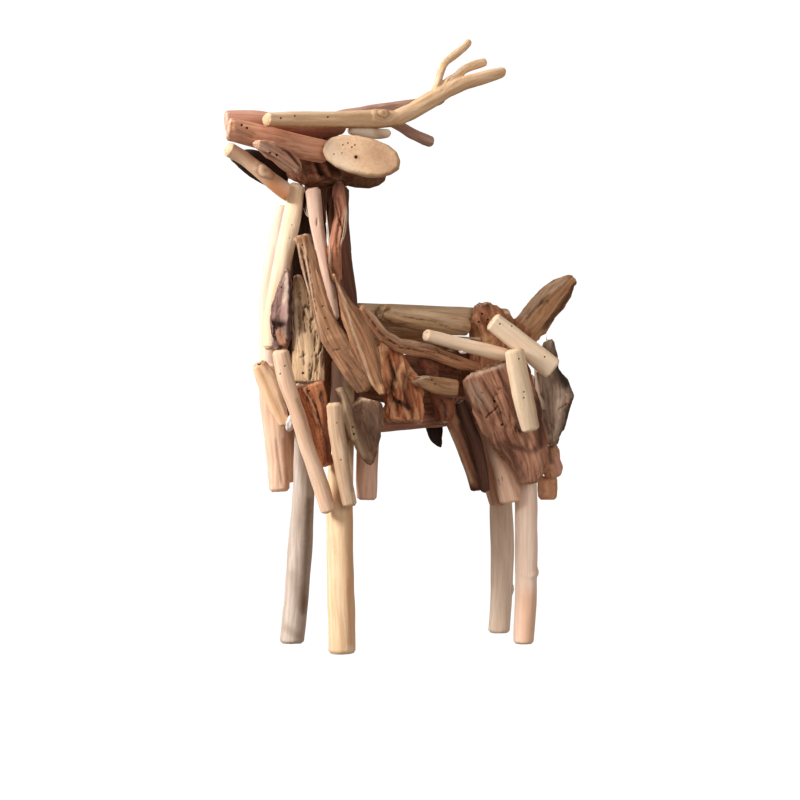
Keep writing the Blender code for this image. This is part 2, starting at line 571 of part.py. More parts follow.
def build_head():
    """The skull block, the snout and jaw sticks, the two antlers and the two ears."""
    stick("skull_block", [(-65, 1, 231, 20.5), (-55, 1, 230.2, 24.2), (-47.5, 1, 232, 23.2),
                          (-36, 1, 232.8, 22.5)],
          19, (70, 42, 30), facing=10, towards=DOWN, lean=0, sides=10, boxy=3.2, rough=0.1)
    stick("snout_far_stick", [(-98.9, 2, 243, 10.6), (-80, 2, 244.5, 11.2), (-58, 2, 243.5, 11),
                              (-38, 2, 246.6, 8.4)],
          10.5, (204, 152, 130), lean=0.1, turn=SNOUT_TURN)
    stick("snout_near_stick", [(-104.6, -12, 237.8, 10.4), (-92, -12, 236.3, 11.6),
                               (-73, -12, 234.4, 11.6), (-54.5, -12, 232.3, 11)],
          10.5, (168, 105, 78), lean=0.2, turn=SNOUT_TURN)
    stick("jaw_stick", [(-100, 0, 232.4, 7.2), (-94.6, 0, 230.7, 6.8), (-88.4, 0, 226.7, 6.6),
                        (-82.2, 0, 222.6, 7.4), (-75.9, 0, 218.6, 8), (-68.2, 0, 214.3, 8.6)],
          8, (200, 140, 92), towards=None, slant=(0.0, JAW_SLANT))
    stick("jaw_far_stick", [(-94, 8, 230, 3.6), (-88.8, 8, 230.2, 11.6),
                            (-81.2, 8, 228.2, 15.4), (-66, 8, 223.8, 17)],
          7, (60, 40, 32), towards=-NEAR, lean=0.3)
    stick("cheek_flake", [(-96, -22, 230.9, 3.6), (-92.4, -22, 230.1, 7),
                          (-86.2, -22, 228.2, 9.2), (-79.5, -22, 224.5, 9), (-74, -22, 221.6, 6)],
          6.5, (190, 146, 122), lean=0.25, boxy=3.0, rough=0.1, sections=7)
    wide = ANTLER_WIDTH / SCALE
    branched("antler_far", [
        ([(-59, 5, 247, 0.9 * wide), (-44, 5.4, 254.4, 0.85 * wide),
          (-35, 6, 257.4, 0.88 * wide), (-21, 7.3, 261.5, 0.88 * wide),
          (-9.6, 8.2, 264.9, 0.85 * wide), (4.2, 9.4, 268.8, 0.8 * wide),
          (18, 10.5, 273.2, 0.6 * wide), (24, 11, 275, 0.4 * wide)], 0.85 * wide),
        ([(-13, 8.5, 261, 0.6 * wide), (-1.8, 10.2, 258, 0.62 * wide),
          (7.4, 11.6, 255.2, 0.68 * wide), (18.9, 13.2, 253, 0.66 * wide)], 0.62 * wide)],
        (178, 146, 120), towards=DOWN, lean=0.02, sections=8)
    branched("antler_near", [
        ([(-88.9, -19, 241.8, 0.74 * wide), (-71.6, -18, 244.1, 0.87 * wide),
          (-48.9, -16.3, 247.2, 0.94 * wide), (-31.1, -14.8, 250, 1.1 * wide),
          (-24.5, -13.8, 250.9, 1.07 * wide), (-17.6, -13.3, 252, 0.93 * wide),
          (-11.3, -12.8, 255.4, 0.9 * wide), (-3.6, -12.3, 259.8, 0.94 * wide),
          (4.7, -12, 265.5, wide), (12.3, -12, 270.3, 0.9 * wide), (19, -12, 273.7, 0.78 * wide),
          (28.4, -12, 277.3, 0.76 * wide), (37.6, -12, 280.7, 0.8 * wide),
          (45.5, -12, 283.6, 0.6 * wide)], 0.88 * wide),
        ([(3.4, -12, 265.5, 0.42 * wide), (6.2, -12, 271.9, 0.42 * wide),
          (8.4, -11, 277.2, 0.44 * wide), (12.2, -9, 283.7, 0.45 * wide),
          (18.9, -7, 289.3, 0.45 * wide), (27.3, -4.5, 295.6, 0.46 * wide),
          (31.3, -2, 299.8, 0.38 * wide)], 0.4 * wide),
        ([(8, -12, 269, 0.5 * wide), (12.7, -12, 274.5, 0.48 * wide),
          (19.1, -10.3, 278.7, 0.46 * wide), (24.4, -9, 283, 0.5 * wide),
          (31.7, -8, 286.3, 0.54 * wide), (37.6, -8, 288.6, 0.46 * wide)], 0.46 * wide)],
        (206, 172, 132), lean=0.03, sections=13)
    stick("antler_prop", [(-45, -17, 243.4, 2.2), (-37, -17, 243.3, 3.4),
                          (-29.2, -17, 243.5, 4), (-23.6, -17, 244.4, 2.6)],
          3.6, (226, 196, 152), towards=None)
    ear_slice("ear_near", Vector((-42, -24, 228.8)), 36.5, 18, (220, 193, 153), NEAR)
    ear_slice("ear_far", Vector((-22, 22, 231)), 34.0, 17.0, (92, 62, 42), -NEAR)


def finish_deer():
    """Make the objects, with the middle of the outline over the origin."""
    rows = np.array([list(p) for _, points, _ in placed for p in points])
    low = rows.min(axis=0)
    high = rows.max(axis=0)
    centre = Vector(((low[0] + high[0]) / 2, (low[1] + high[1]) / 2, 0.0))
    for name, points, faces in placed:
        add_body(name, points, faces, centre)


def main():
    """Build the deer from the inside out."""
    clear_scene()
    collection = bpy.data.collections.new("driftwood_deer")
    bpy.context.scene.collection.children.link(collection)
    build_frame()
    build_hidden_side()
    build_neck()
    build_belly()
    build_flank()
    build_breast()
    build_shoulder()
    build_hip()
    build_head()
    finish_deer()


main()
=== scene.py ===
"""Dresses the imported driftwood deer: grain, furrows, cracks, knots, worm holes and colours.

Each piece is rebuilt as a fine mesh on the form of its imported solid, in millimetres, and then
carved. Marks that the photograph shows are placed by their pixel in an 800 x 800 picture.
"""
import math

import bmesh
import bpy
import numpy as np
from mathutils import Matrix, Vector
from mathutils.bvhtree import BVHTree


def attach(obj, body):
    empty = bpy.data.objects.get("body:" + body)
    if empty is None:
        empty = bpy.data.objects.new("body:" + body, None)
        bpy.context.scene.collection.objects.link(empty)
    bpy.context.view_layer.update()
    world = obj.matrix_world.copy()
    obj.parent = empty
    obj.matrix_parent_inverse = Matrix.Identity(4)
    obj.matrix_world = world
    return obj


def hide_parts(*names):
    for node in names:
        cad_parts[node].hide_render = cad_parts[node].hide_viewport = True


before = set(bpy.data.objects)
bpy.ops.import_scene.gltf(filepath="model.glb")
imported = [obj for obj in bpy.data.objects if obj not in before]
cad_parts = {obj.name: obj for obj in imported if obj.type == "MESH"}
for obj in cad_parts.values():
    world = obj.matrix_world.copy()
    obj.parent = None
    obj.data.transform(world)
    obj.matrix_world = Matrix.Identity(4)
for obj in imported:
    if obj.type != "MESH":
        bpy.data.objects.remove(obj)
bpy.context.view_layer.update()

MM = 0.001

# The camera, in millimetres and degrees
EYE = np.array([-377.2, -635.9, 84.9])
HEADING = -30.0           # azimuth that it looks from
TILT = 2.545              # looks up by this much
FOCAL = 1530.0            # focal length in pixels of the picture
PICTURE = 800.0
SENSOR = 36.0

# Mesh sizes
STEP_ROUND = 0.42         # spacing of points round a stick
STEP_ALONG = 0.75         # and along it
SPOKES = 64               # rays that feel a section of a solid
FEEL_ALONG = 2.0          # spacing of those sections
EASE_ALONG = 3.0          # smoothing along a stick
SLICES = 13               # sections that find a piece's middle line
KEEP = 4                  # waves kept round a section, so that its facets go
VOXEL = 0.52              # spacing on the pieces that aren't plain sticks
LUMP_GIRTH = 4.5          # radius that knots and checks go by on those pieces
LIMB_SHIFT = 31.7         # moves the grain on from limb to limb

# Relief
SEED_SHIFT = (13.1, -7.7, 5.3)  # moves the noise on from piece to piece
TWIST = 0.003             # turn of the grain, in radians a millimetre
KNOT_LONG = 1.7           # length of a knot along the grain against its width
WORN_RIM = 0.2            # how far the rims of cut ends are worn down
# Masks that the marks go into: shade marks are painted shade and painted shadow, and some stain
# and pale marks are painted shade and painted highlights
MASKS = {"stain": "stain", "shade": "cavity", "blush": "blush", "pale": "pale"}

# Colour, as six hexadecimal digits, and shine
TINT = (1.0, 0.975, 1.02)  # evens out the warm light
WOOD_LEVEL = 0.93         # how light the wood is against its listed colours
DEEP_SHADE = "402316"           # painted shade in cracks, hollows and shaded places
ROUGHNESS = 0.62

# Glue beads and slivers
GLUE = 1                  # its place among a piece's materials
EXTRA_MASKS = (0.0, 0.0, 0.0, 0.8)  # painted shade, stain and shade, blush and pale on them
SLIVER_RINGS = 9

# The studio, in metres
FLOOR_FLAT = 2.2          # radius of the flat floor
FLOOR_BEND = 2.0          # radius of its bend into the wall
FLOOR_TOP = 7.0           # height of the wall
FLOOR_SPOKES = 96
FLOOR_GLOW = 1.05         # just over white, as in the photograph
AIM = (0.0, 0.0, 0.14)    # where the lamps look
AMBIENT = (1.0, 0.86, 0.74, 1.0)
AMBIENT_STRENGTH = 0.33

heading = math.radians(HEADING)
tilt = math.radians(TILT)
VIEW = np.array([-math.sin(heading) * math.cos(tilt), math.cos(heading) * math.cos(tilt),
                 math.sin(tilt)])
RIGHT = np.array([math.cos(heading), math.sin(heading), 0.0])
ABOVE = np.cross(RIGHT, VIEW)


def pixels(points):
    """Where points fall in the picture."""
    seen = points - EYE
    away = seen @ VIEW
    return np.stack([PICTURE / 2 + FOCAL * (seen @ RIGHT) / away,
                     PICTURE / 2 - FOCAL * (seen @ ABOVE) / away], axis=1)


def smoothstep(low, high, x):
    t = np.clip((x - low) / (high - low), 0.0, 1.0)
    return t * t * (3 - 2 * t)


# Gradient noise
dice = np.random.RandomState(11)
MIXED = np.tile(dice.permutation(256), 3)
SLANTS = dice.normal(size=(256, 3))
SLANTS /= np.linalg.norm(SLANTS, axis=1)[:, None]
NOISE_LEVEL = 1.7         # brings the noise to about -1 to 1


def noise(points):
    """Smooth noise of about -1 to 1 at each point."""
    cell = np.floor(points).astype(np.int64)
    part = points - cell
    ease = part ** 3 * (part * (part * 6 - 15) + 10)
    cell &= 255
    total = np.zeros(len(points))
    for i in (0, 1):
        first = MIXED[cell[:, 0] + i]
        for j in (0, 1):
            second = MIXED[first + cell[:, 1] + j]
            for k in (0, 1):
                slant = SLANTS[MIXED[second + cell[:, 2] + k]]
                share = np.where([i, j, k], ease, 1 - ease)
                total += share[:, 0] * share[:, 1] * share[:, 2] * (
                    slant * (part - (i, j, k))).sum(axis=1)
    return total * NOISE_LEVEL


def fractal(points):
    """Noise with finer and weaker noise on top."""
    return sum(noise(points * 2 ** octave + 17.3 * octave) / 2 ** octave for octave in range(3))


def unit(rows):
    return rows / np.maximum(np.linalg.norm(rows, axis=-1, keepdims=True), 1e-9)


def turned(a, b, angle):
    """Two coordinates, turned round their origin."""
    return a * np.cos(angle) - b * np.sin(angle), a * np.sin(angle) + b * np.cos(angle)


def lengths(line):
    """Distance from the start of a line to each of its points."""
    return np.concatenate([[0], np.cumsum(np.linalg.norm(np.diff(line, axis=0), axis=1))])


def read(rows, name, width, kind=float):
    """One property of all points, edges, faces or values of a mesh, a row for each."""
    values = np.zeros(len(rows) * width, kind)
    rows.foreach_get(name, values)
    return values.reshape(-1, width)


def write(mesh, name, kind, field, values):
    """A named value at each point of a mesh."""
    layer = mesh.attributes.new(name, kind, "POINT")
    layer.data.foreach_set(field, values.astype(np.float32).ravel())


def solid(node):
    """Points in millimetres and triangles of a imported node, with its split corners welded."""
    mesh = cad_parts[node].data
    mesh.calc_loop_triangles()
    triangles = read(mesh.loop_triangles, "vertices", 3, np.int64)
    points = np.round(read(mesh.vertices, "co", 3) / MM, 4)
    points, where = np.unique(points, axis=0, return_inverse=True)
    return points, where.reshape(-1)[triangles]


def tree_of(points, triangles):
    return BVHTree.FromPolygons([Vector(p) for p in points], triangles.tolist())


def cast(tree, origin, rays):
    """Distance from one origin to the surface along each ray."""
    start = Vector(origin)
    found = []
    for ray in rays:
        hit = tree.ray_cast(start, Vector(ray))
        found.append(hit[3] if hit[0] is not None else np.nan)
    found = np.array(found)
    if np.isnan(found).any():
        good = ~np.isnan(found)
        spots = np.arange(len(found))
        found = np.interp(spots, spots[good], found[good]) if good.any() else found * 0 + 1.0
    return found


def section_frame(tangent):
    """Two directions across a stick; the second one faces the camera."""
    front = -VIEW - tangent * np.dot(-VIEW, tangent)
    if np.linalg.norm(front) < 0.2:
        front = RIGHT - tangent * np.dot(RIGHT, tangent)
    front = unit(front)
    return np.cross(front, tangent), front


SPINS = np.arange(SPOKES) * 2 * math.pi / SPOKES


def ring_rays(tangent):
    """Directions all round a stick, square to it."""
    side, front = section_frame(tangent)
    return np.cos(SPINS)[:, None] * side + np.sin(SPINS)[:, None] * front


def backbone(points, triangles, tree, short):
    """Middle line of a piece, evenly spaced, and how far it stops short of the end faces."""
    middle = points.mean(axis=0)
    axis = np.linalg.svd(points - middle)[2][2 if short else 0]
    if axis[np.argmax(np.abs(axis))] < 0:
        axis = -axis
    along = (points - middle) @ axis
    low, high = along.min(), along.max()
    edges = np.vstack([triangles[:, [0, 1]], triangles[:, [1, 2]], triangles[:, [2, 0]]])
    centres = []
    for place in np.linspace(0.1, 0.9, SLICES):
        level = low + place * (high - low)
        a, b = along[edges[:, 0]], along[edges[:, 1]]
        cut = (a - level) * (b - level) < 0
        share = ((level - a[cut]) / (b[cut] - a[cut]))[:, None]
        ends_a, ends_b = points[edges[cut, 0]], points[edges[cut, 1]]
        centres.append((ends_a + (ends_b - ends_a) * share).mean(axis=0))
    centres = np.array(centres)
    if short:
        centres = middle + np.outer(np.linspace(-0.4, 0.4, SLICES) * (high - low), axis)
    else:
        for _ in range(2):
            lines = unit(np.gradient(centres, axis=0))
            for i, line in enumerate(lines):
                rays = ring_rays(line)[::2]
                reach = cast(tree, centres[i], rays)[:, None]
                centres[i] += (rays * reach ** 3).sum(axis=0) / (1.5 * (reach ** 2).sum())
            centres[1:-1] = (centres[:-2] + 2 * centres[1:-1] + centres[2:]) / 4
    ends = []
    for centre, out in ((centres[0], unit(centres[0] - centres[1])),
                        (centres[-1], unit(centres[-1] - centres[-2]))):
        reach = cast(tree, centre, [out])[0]
        girth = cast(tree, centre, ring_rays(out)[::4]).min()
        inset = min(0.9 * girth, 0.42 * (high - low))
        ends.append((centre + out * (reach - inset), inset))
    line = np.vstack([ends[0][0], centres, ends[1][0]])
    if (line[1] - line[0]) @ (line[2] - line[1]) < 0:
        line = np.delete(line, 1, axis=0)
    if (line[-1] - line[-2]) @ (line[-2] - line[-3]) < 0:
        line = np.delete(line, -2, axis=0)
    steps = lengths(line)
    dense = np.linspace(0, steps[-1], 200)
    smooth = np.stack([np.interp(dense, steps, line[:, k]) for k in range(3)], axis=1)
    smooth = ease_rows(smooth, 6.0)
    return smooth, ends[0][1], ends[1][1]


def ease_rows(rows, sigma):
    """Gaussian smoothing down the rows that leaves the first and last row where they are."""
    if sigma < 0.3 or len(rows) < 4:
        return rows
    width = min(int(3 * sigma) + 1, len(rows) - 1)
    head = 2 * rows[0] - rows[width:0:-1]
    tail = 2 * rows[-1] - rows[-2:-width - 2:-1]
    padded = np.concatenate([head, rows, tail])
    weights = np.exp(-0.5 * (np.arange(-width, width + 1) / sigma) ** 2)
    weights /= weights.sum()
    result = np.zeros_like(rows)
    for i, weight in enumerate(weights):
        result += weight * padded[i:i + len(rows)]
    return result


def harmonics(rows):
    """Fourier terms round a ring, without the ones that make its facets."""
    terms = np.fft.fft(rows, axis=1) / SPOKES
    order = np.fft.fftfreq(SPOKES, 1 / SPOKES)
    return terms * np.clip((KEEP + 3 - np.abs(order)) / 3, 0, 1), order


def tube(node, coarse):
    """A fine mesh on a stick's solid: points, wood coordinates, faces and end masks."""
    points, triangles = solid(node)
    tree = tree_of(points, triangles)
    line, inset_a, inset_b = backbone(points, triangles, tree, False)
    steps = lengths(line)
    length = steps[-1]
    tangents = unit(np.gradient(line, axis=0))

    def spot(s):
        at = np.array([np.interp(s, steps, line[:, k]) for k in range(3)])
        tangent = unit(np.array([np.interp(s, steps, tangents[:, k]) for k in range(3)]))
        return at, tangent

    felt = max(int(round(length / FEEL_ALONG)), 2) + 1
    places = np.linspace(0, length, felt)
    reaches = np.array([cast(tree, at, ring_rays(tangent)) for at, tangent in map(spot, places)])
    terms, order = harmonics(reaches * np.exp(1j * SPINS))
    terms = ease_rows(terms, EASE_ALONG / FEEL_ALONG)

    # Evenly spaced points round the mean section
    probe = np.linspace(0, 2 * math.pi, 721)
    outline = np.exp(1j * np.outer(probe, order)) @ terms.mean(axis=0)
    walk = np.concatenate([[0], np.cumsum(np.abs(np.diff(outline)))])
    count = max(int(walk[-1] / (STEP_ROUND * coarse)), 16)
    turns = np.interp(np.arange(count) / count * walk[-1], walk, probe)
    waves = np.exp(1j * np.outer(order, turns))
    girth = walk[-1] / (2 * math.pi)

    rows, woods, caps = [], [], []

    def add_ring(plane, lift, at, tangent, out, s, cap):
        side, front = section_frame(tangent)
        rows.append(at + np.outer(plane.real, side) + np.outer(plane.imag, front)
                    + np.outer(lift, out))
        woods.append(np.stack([plane.real, plane.imag, s + np.zeros(count)], axis=1))
        caps.append(np.full(count, cap))

    def end_rings(s, inset, sign):
        """Rings from the last section to the middle of the end face."""
        at, tangent = spot(s)
        out = tangent * sign
        across = ring_rays(tangent)
        reach = cast(tree, at, across)
        radius = reach.mean()
        gap = 0.8 * STEP_ALONG * coarse
        profile = np.arange(gap, inset + radius, gap)
        made = []
        for p in profile:
            left = 1 - max(p - inset, 0.0) / radius
            angle = np.arctan2(reach * left, min(p, inset))
            rays = np.sin(angle)[:, None] * across + np.cos(angle)[:, None] * out
            found = cast(tree, at, rays)
            plane = found * np.sin(angle) * np.exp(1j * SPINS)
            flat, _ = harmonics(plane[None])
            height, _ = harmonics((found * np.cos(angle)).astype(complex)[None])
            made.append(((flat[0] @ waves), (height[0] @ waves).real,
                         float(smoothstep(0.75 * inset, inset, p))))
        return made, at, tangent, out

    made, at, tangent, out = end_rings(0.0, inset_a, -1)
    for plane, lift, cap in reversed(made):
        add_ring(plane, lift, at, tangent, out, -lift, -cap)
    rounds = max(int(round(length / (STEP_ALONG * coarse))), 2) + 1
    used = [k for k in range(SPOKES) if terms[:, k].any()]
    for s in np.linspace(0, length, rounds):
        at, tangent = spot(s)
        here = np.array([np.interp(s, places, terms[:, k]) for k in used])
        add_ring(here @ waves[used], np.zeros(count), at, tangent, tangent, s, 0.0)
    made, at, tangent, out = end_rings(length, inset_b, 1)
    for plane, lift, cap in made:
        add_ring(plane, lift, at, tangent, out, length + lift, cap)

    whole = np.vstack(rows + [rows[0].mean(axis=0)[None], rows[-1].mean(axis=0)[None]])
    wood = np.vstack(woods + [woods[0].mean(axis=0)[None], woods[-1].mean(axis=0)[None]])
    cap = np.concatenate(caps + [[-1.0, 1.0]])
    here = np.arange(count)
    after = (here + 1) % count
    base = np.arange(len(rows) - 1)[:, None] * count
    quads = np.stack([base + here, base + after, base + count + after, base + count + here],
                     axis=2).reshape(-1, 4)
    first, last = len(rows) * count, len(rows) * count + 1
    top = (len(rows) - 1) * count
    faces = quads.tolist()
    faces += [[first, int(b), int(a)] for a, b in zip(here, after)]
    faces += [[last, int(top + a), int(top + b)] for a, b in zip(here, after)]
    return dict(points=whole, wood=wood, cap=cap, faces=faces, girth=girth)


def as_mesh(name, points, faces):
    """A mesh that is on no object yet."""
    mesh = bpy.data.meshes.new(name)
    mesh.from_pydata([tuple(p) for p in points], [], faces)
    mesh.update()
    return mesh


def follow(points, line):
    """For each stretch of a line: its direction, how far along the line each point lies,
    with and without stopping at the stretch's ends, and the way and distance to the point."""
    for a, b, begun in zip(line[:-1], line[1:], lengths(line)):
        step = unit(b - a)
        run = (points - a) @ step
        held = np.clip(run, 0, np.linalg.norm(b - a))
        gap = points - a - held[:, None] * step
        yield step, begun + held, begun + run, gap, np.linalg.norm(gap, axis=1)


def lumpy(node, limbs, voxel, smoothing, short):
    """A fine mesh on a piece of any form, with wood coordinates from the nearest limb."""
    points, triangles = solid(node)
    if limbs is None:
        line, _, _ = backbone(points, triangles, tree_of(points, triangles), short)
        limbs = [line[::8]]
    mesh = as_mesh("rough", points * MM, triangles.tolist())
    rough = bpy.data.objects.new("rough", mesh)
    bpy.context.scene.collection.objects.link(rough)
    remesh = rough.modifiers.new("remesh", "REMESH")
    remesh.mode = "VOXEL"
    remesh.voxel_size = voxel * MM
    made = rough.evaluated_get(bpy.context.evaluated_depsgraph_get()).to_mesh()
    points = read(made.vertices, "co", 3) / MM
    faces = [list(face.vertices) for face in made.polygons]
    edges = read(made.edges, "vertices", 2, np.int64)
    bpy.data.objects.remove(rough, do_unlink=True)
    counts = np.bincount(edges.ravel(), minlength=len(points))[:, None]
    for turn in range(smoothing):
        total = np.zeros_like(points)
        for axis in range(3):
            total[:, axis] = (np.bincount(edges[:, 0], points[edges[:, 1], axis], len(points))
                              + np.bincount(edges[:, 1], points[edges[:, 0], axis], len(points)))
        pull = 0.6 if turn % 2 == 0 else -0.61
        points = points + pull * (total / counts - points)
    normals, _ = normals_of(points, faces)
    best = np.full(len(points), np.inf)
    wood = np.zeros_like(points)
    cap = np.zeros(len(points))
    for number, limb in enumerate(limbs):
        limb = np.array(limb, float)
        for step, _, place, gap, far in follow(points, limb):
            nearer = far < best
            best[nearer] = far[nearer]
            side, front = section_frame(step)
            wood[nearer] = np.stack([gap @ side, gap @ front, place + LIMB_SHIFT * number],
                                    axis=1)[nearer]
            slope = normals @ step
            share = place / lengths(limb)[-1]
            lower = smoothstep(0.55, 0.85, -slope) * (share < 0.15)
            upper = smoothstep(0.55, 0.85, slope) * (share > 0.85)
            cap[nearer] = (upper - lower)[nearer]
    return dict(points=points, wood=wood, cap=cap, faces=faces, girth=LUMP_GIRTH)


def normals_of(points, faces):
    """Vertex normals, each face counted by its area."""
    quads = np.array([f if len(f) == 4 else f + [f[2]] for f in faces])
    a, b, c, d = (points[quads[:, k]] for k in range(4))
    face = np.cross(c - a, d - b)
    total = np.zeros_like(points)
    for k in range(4):
        for axis in range(3):
            total[:, axis] += np.bincount(quads[:, k], face[:, axis], len(points))
    volume = (a * face).sum()
    return unit(total) * (1 if volume > 0 else -1), volume > 0


def line_distance(spots, line):
    """Distance, side and share of length of each spot to a line of pixels."""
    line = np.array(line, float)
    if len(line) == 1:
        line = np.vstack([line, line + (0.01, 0.0)])
    best = np.full(len(spots), np.inf)
    side = np.zeros(len(spots))
    share = np.zeros(len(spots))
    for step, held, _, gap, far in follow(spots, line):
        nearer = far < best
        best[nearer] = far[nearer]
        side[nearer] = np.sign(step[0] * gap[:, 1] - step[1] * gap[:, 0])[nearer]
        share[nearer] = (held / lengths(line)[-1])[nearer]
    return best, side, share


class Carving:
    """Depth and colour masks at each point of one piece, while it is carved."""

    def __init__(self, base, look, seed):
        self.base, self.look, self.seed = base, look, seed
        self.points, self.wood = base["points"], base["wood"]
        self.normals, _ = normals_of(self.points, base["faces"])
        self.spots = pixels(self.points)
        toward = (self.normals * unit(EYE - self.points)).sum(axis=1)
        self.facing = smoothstep(0.0, 0.25, toward)
        self.shift = seed * np.array(SEED_SHIFT)
        self.ends = np.abs(base["cap"])
        self.sides = 1 - self.ends
        self.depth, self.cavity, self.stain, self.blush, self.pale = np.zeros(
            (5, len(self.points)))
        slow = self.wood / np.array([11.0, 11.0, 26.0]) + self.shift
        self.a = self.wood[:, 0] + look["wander"] * noise(slow)
        self.b = self.wood[:, 1] + look["wander"] * noise(slow + 41.0)
        self.a, self.b = turned(self.a, self.b, TWIST * self.wood[:, 2])

    def noise(self, place, across, along, offset=0.0):
        """Noise of a size across and along the grain, in millimetres."""
        return noise(place / np.array([across, across, along]) + self.shift + offset)

    def knot(self, spot, size, amount):
        """A swelling with a swirl and a ring, which the grain flows round."""
        points, normals, wood = self.points, self.normals, self.wood
        off = ((self.spots - spot) ** 2).sum(axis=1)
        near = np.argmin(np.where(self.facing > 0.3, off, 1e9))
        radius = size * np.linalg.norm(points[near] - EYE) / FOCAL
        gap = points - points[near]
        tangent = unit(points[np.argmax(wood[:, 2])] - points[np.argmin(wood[:, 2])])
        along = gap @ tangent
        across = gap @ unit(np.cross(tangent, normals[near]))
        front = (normals @ normals[near]) > 0
        # Square of the distance from the middle, in knot sizes
        q = (across ** 2 + (along / KNOT_LONG) ** 2) / radius ** 2
        push = np.where(front, across / np.maximum(q, 0.7), 0.0)
        self.a, self.b = turned(self.a, self.b, -push / max(self.base["girth"], 1.0))
        r = np.sqrt(q) * (1 + 0.22 * noise(gap / radius * 0.8 + self.shift))
        inside = np.where(front, np.exp(-q ** 1.5), 0.0)
        swirl = np.cos(r * 8.0 + np.arctan2(along, across))
        rim = np.where(front, np.exp(-((r - 1.0) / 0.14) ** 2), 0.0)
        self.depth += (amount + 0.16 * swirl) * inside - 0.25 * rim
        self.stain += 0.3 * inside * smoothstep(0.1, 1.0, swirl) + 0.45 * rim
        # The dark centre is the knot's own colour; the darkening of its ring is painted shade in
        # the groove
        self.cavity += np.where(front, 0.3 * np.exp(-(r / 0.25) ** 2), 0) + 0.25 * rim

    def relief(self):
        """Lumps, flutes, gnarled folds, furrows and grain."""
        look, wood, sides = self.look, self.wood, self.sides
        bent = self.bent = np.stack([self.a, self.b, wood[:, 2]], axis=1)
        self.depth += look["lump"] * self.noise(wood, 7.0, 11.0) + look["swell"]
        self.depth += look["flute"] * self.noise(bent, 3.2, 34.0, 9.0) * sides
        if look["gnarl"] > 0:
            size = look["gnarl_size"]
            place = bent / np.array([size, size, size * look["gnarl_run"]]) + self.shift
            place = place + 0.55 * np.stack([noise(place + k) for k in (3.0, 8.0, 15.0)], axis=1)
            folds = np.abs(noise(place)) + 0.45 * np.abs(noise(place * 2.1 + 5.0))
            crest = np.clip(folds * 1.5, 0, 1.4)
            self.depth += look["gnarl"] * (crest - 0.55)
            # Painted shade in the valleys between the gnarled folds
            self.cavity += 0.45 * smoothstep(0.18, 0.0, folds)
            # Painted highlight on the crests of the gnarled folds
            self.pale += look["crest"] * smoothstep(0.55, 1.15, crest)
        if look["furrow"] > 0:
            width = look["furrow_width"]
            run = width * look["furrow_run"]
            lines = self.noise(bent, width, run, 23.0)
            lines += 0.35 * self.noise(bent, width * 0.45, run * 0.5)
            where = smoothstep(look["furrow_gaps"] - 0.35, look["furrow_gaps"] + 0.15,
                               self.noise(wood, 5.0, 21.0, 51.0))
            valley = np.exp(-(lines / 0.11) ** 2) * where * sides
            self.depth -= look["furrow"] * valley
            # Painted shade in the furrows
            self.cavity += valley * look["furrow_dark"]
        grain = self.noise(bent, 1.15, 17.0, 31.0) + 0.5 * self.noise(bent, 0.6, 9.0, 37.0)
        self.depth += look["fine"] * grain * (0.25 + 0.75 * sides)
        # Painted shade in the low places of the grain
        self.cavity += 0.25 * smoothstep(0.0, -1.0, grain) * smoothstep(0.03, 0.12, look["fine"])

    def cut_ends(self):
        """Drying checks and roughness on the cut ends, and their worn rims."""
        look, wood, ends = self.look, self.wood, self.ends
        angle = np.arctan2(wood[:, 1], wood[:, 0])
        radial = np.hypot(wood[:, 0], wood[:, 1])
        share = radial / self.base["girth"]
        roller = np.random.RandomState(int(self.seed * 7) + 3)
        for end in (-1.0, 1.0):
            mine = smoothstep(0.2, 0.9, self.base["cap"] * end)
            for check in roller.uniform(-math.pi, math.pi, look["checks"]):
                off = np.abs(np.angle(np.exp(1j * (angle - check - 0.25 * noise(wood * 0.5)))))
                split = np.exp(-(off * radial / 0.28) ** 2) * smoothstep(0.1, 0.5, share)
                split *= smoothstep(1.0, 0.7, share) * mine * (off < 1.5)
                self.depth -= 0.35 * split
                # Painted shade in the drying checks
                self.cavity += 0.5 * split
        coarse, finer = (fractal(wood * np.array(size) + self.shift)
                         for size in ((0.45, 0.45, 0.2), (0.7, 0.7, 0.3)))
        self.depth += look["ragged"] * (coarse - 0.35) * ends
        # Painted shade in the pits of the rough end grain
        self.cavity += ends * smoothstep(0.1, -0.5, finer) * min(1.0, look["ragged"]) * 0.5
        self.depth -= WORN_RIM * np.exp(-((ends - 0.5) / 0.3) ** 2) * (ends > 0) * (ends < 1)

    def draw(self, marks):
        """Marks seen in the photograph."""
        def quake(size, offset=0.0):
            place = np.full(len(self.spots), self.seed + offset)
            return noise(np.column_stack([self.spots / size, place]))

        ripple, quiver = 0.6 * quake(5.0), quake(2.4, 4.0)
        broken = smoothstep(-0.5, 0.0, quake(4.0, 9.0))
        facing = self.facing
        for kind, size, amount, line in marks:
            if kind == "hole":
                for spot in line:
                    far = np.linalg.norm(self.spots - spot, axis=1)
                    pit = smoothstep(1.25 * size, 0.55 * size, far) * (facing > 0.05)
                    self.depth -= amount * pit
                    # Painted shade in the worm hole
                    self.cavity += 2.0 * pit
            if kind in ("hole", "knot"):
                continue
            spread = ripple[:, None] * (1.5 if kind in MASKS else 0.9) + 0.5 * quiver[:, None]
            far, side, share = line_distance(self.spots + spread, line)
            # Shade marks add painted shade and painted shadow; stain marks add stains and some
            # painted shade
            if kind in MASKS:
                mask = getattr(self, MASKS[kind])
                mask += amount * np.exp(-(far / size) ** 2) * facing
                continue
            taper = smoothstep(0.0, 0.12, share) * smoothstep(1.0, 0.88, share)
            if kind == "crack":
                thin = size * (0.75 + 0.35 * quiver)
                cut = np.exp(-(far / thin) ** 2 * 1.4) * taper * facing * (0.25 + 0.75 * broken)
                self.depth -= 0.8 * amount * cut
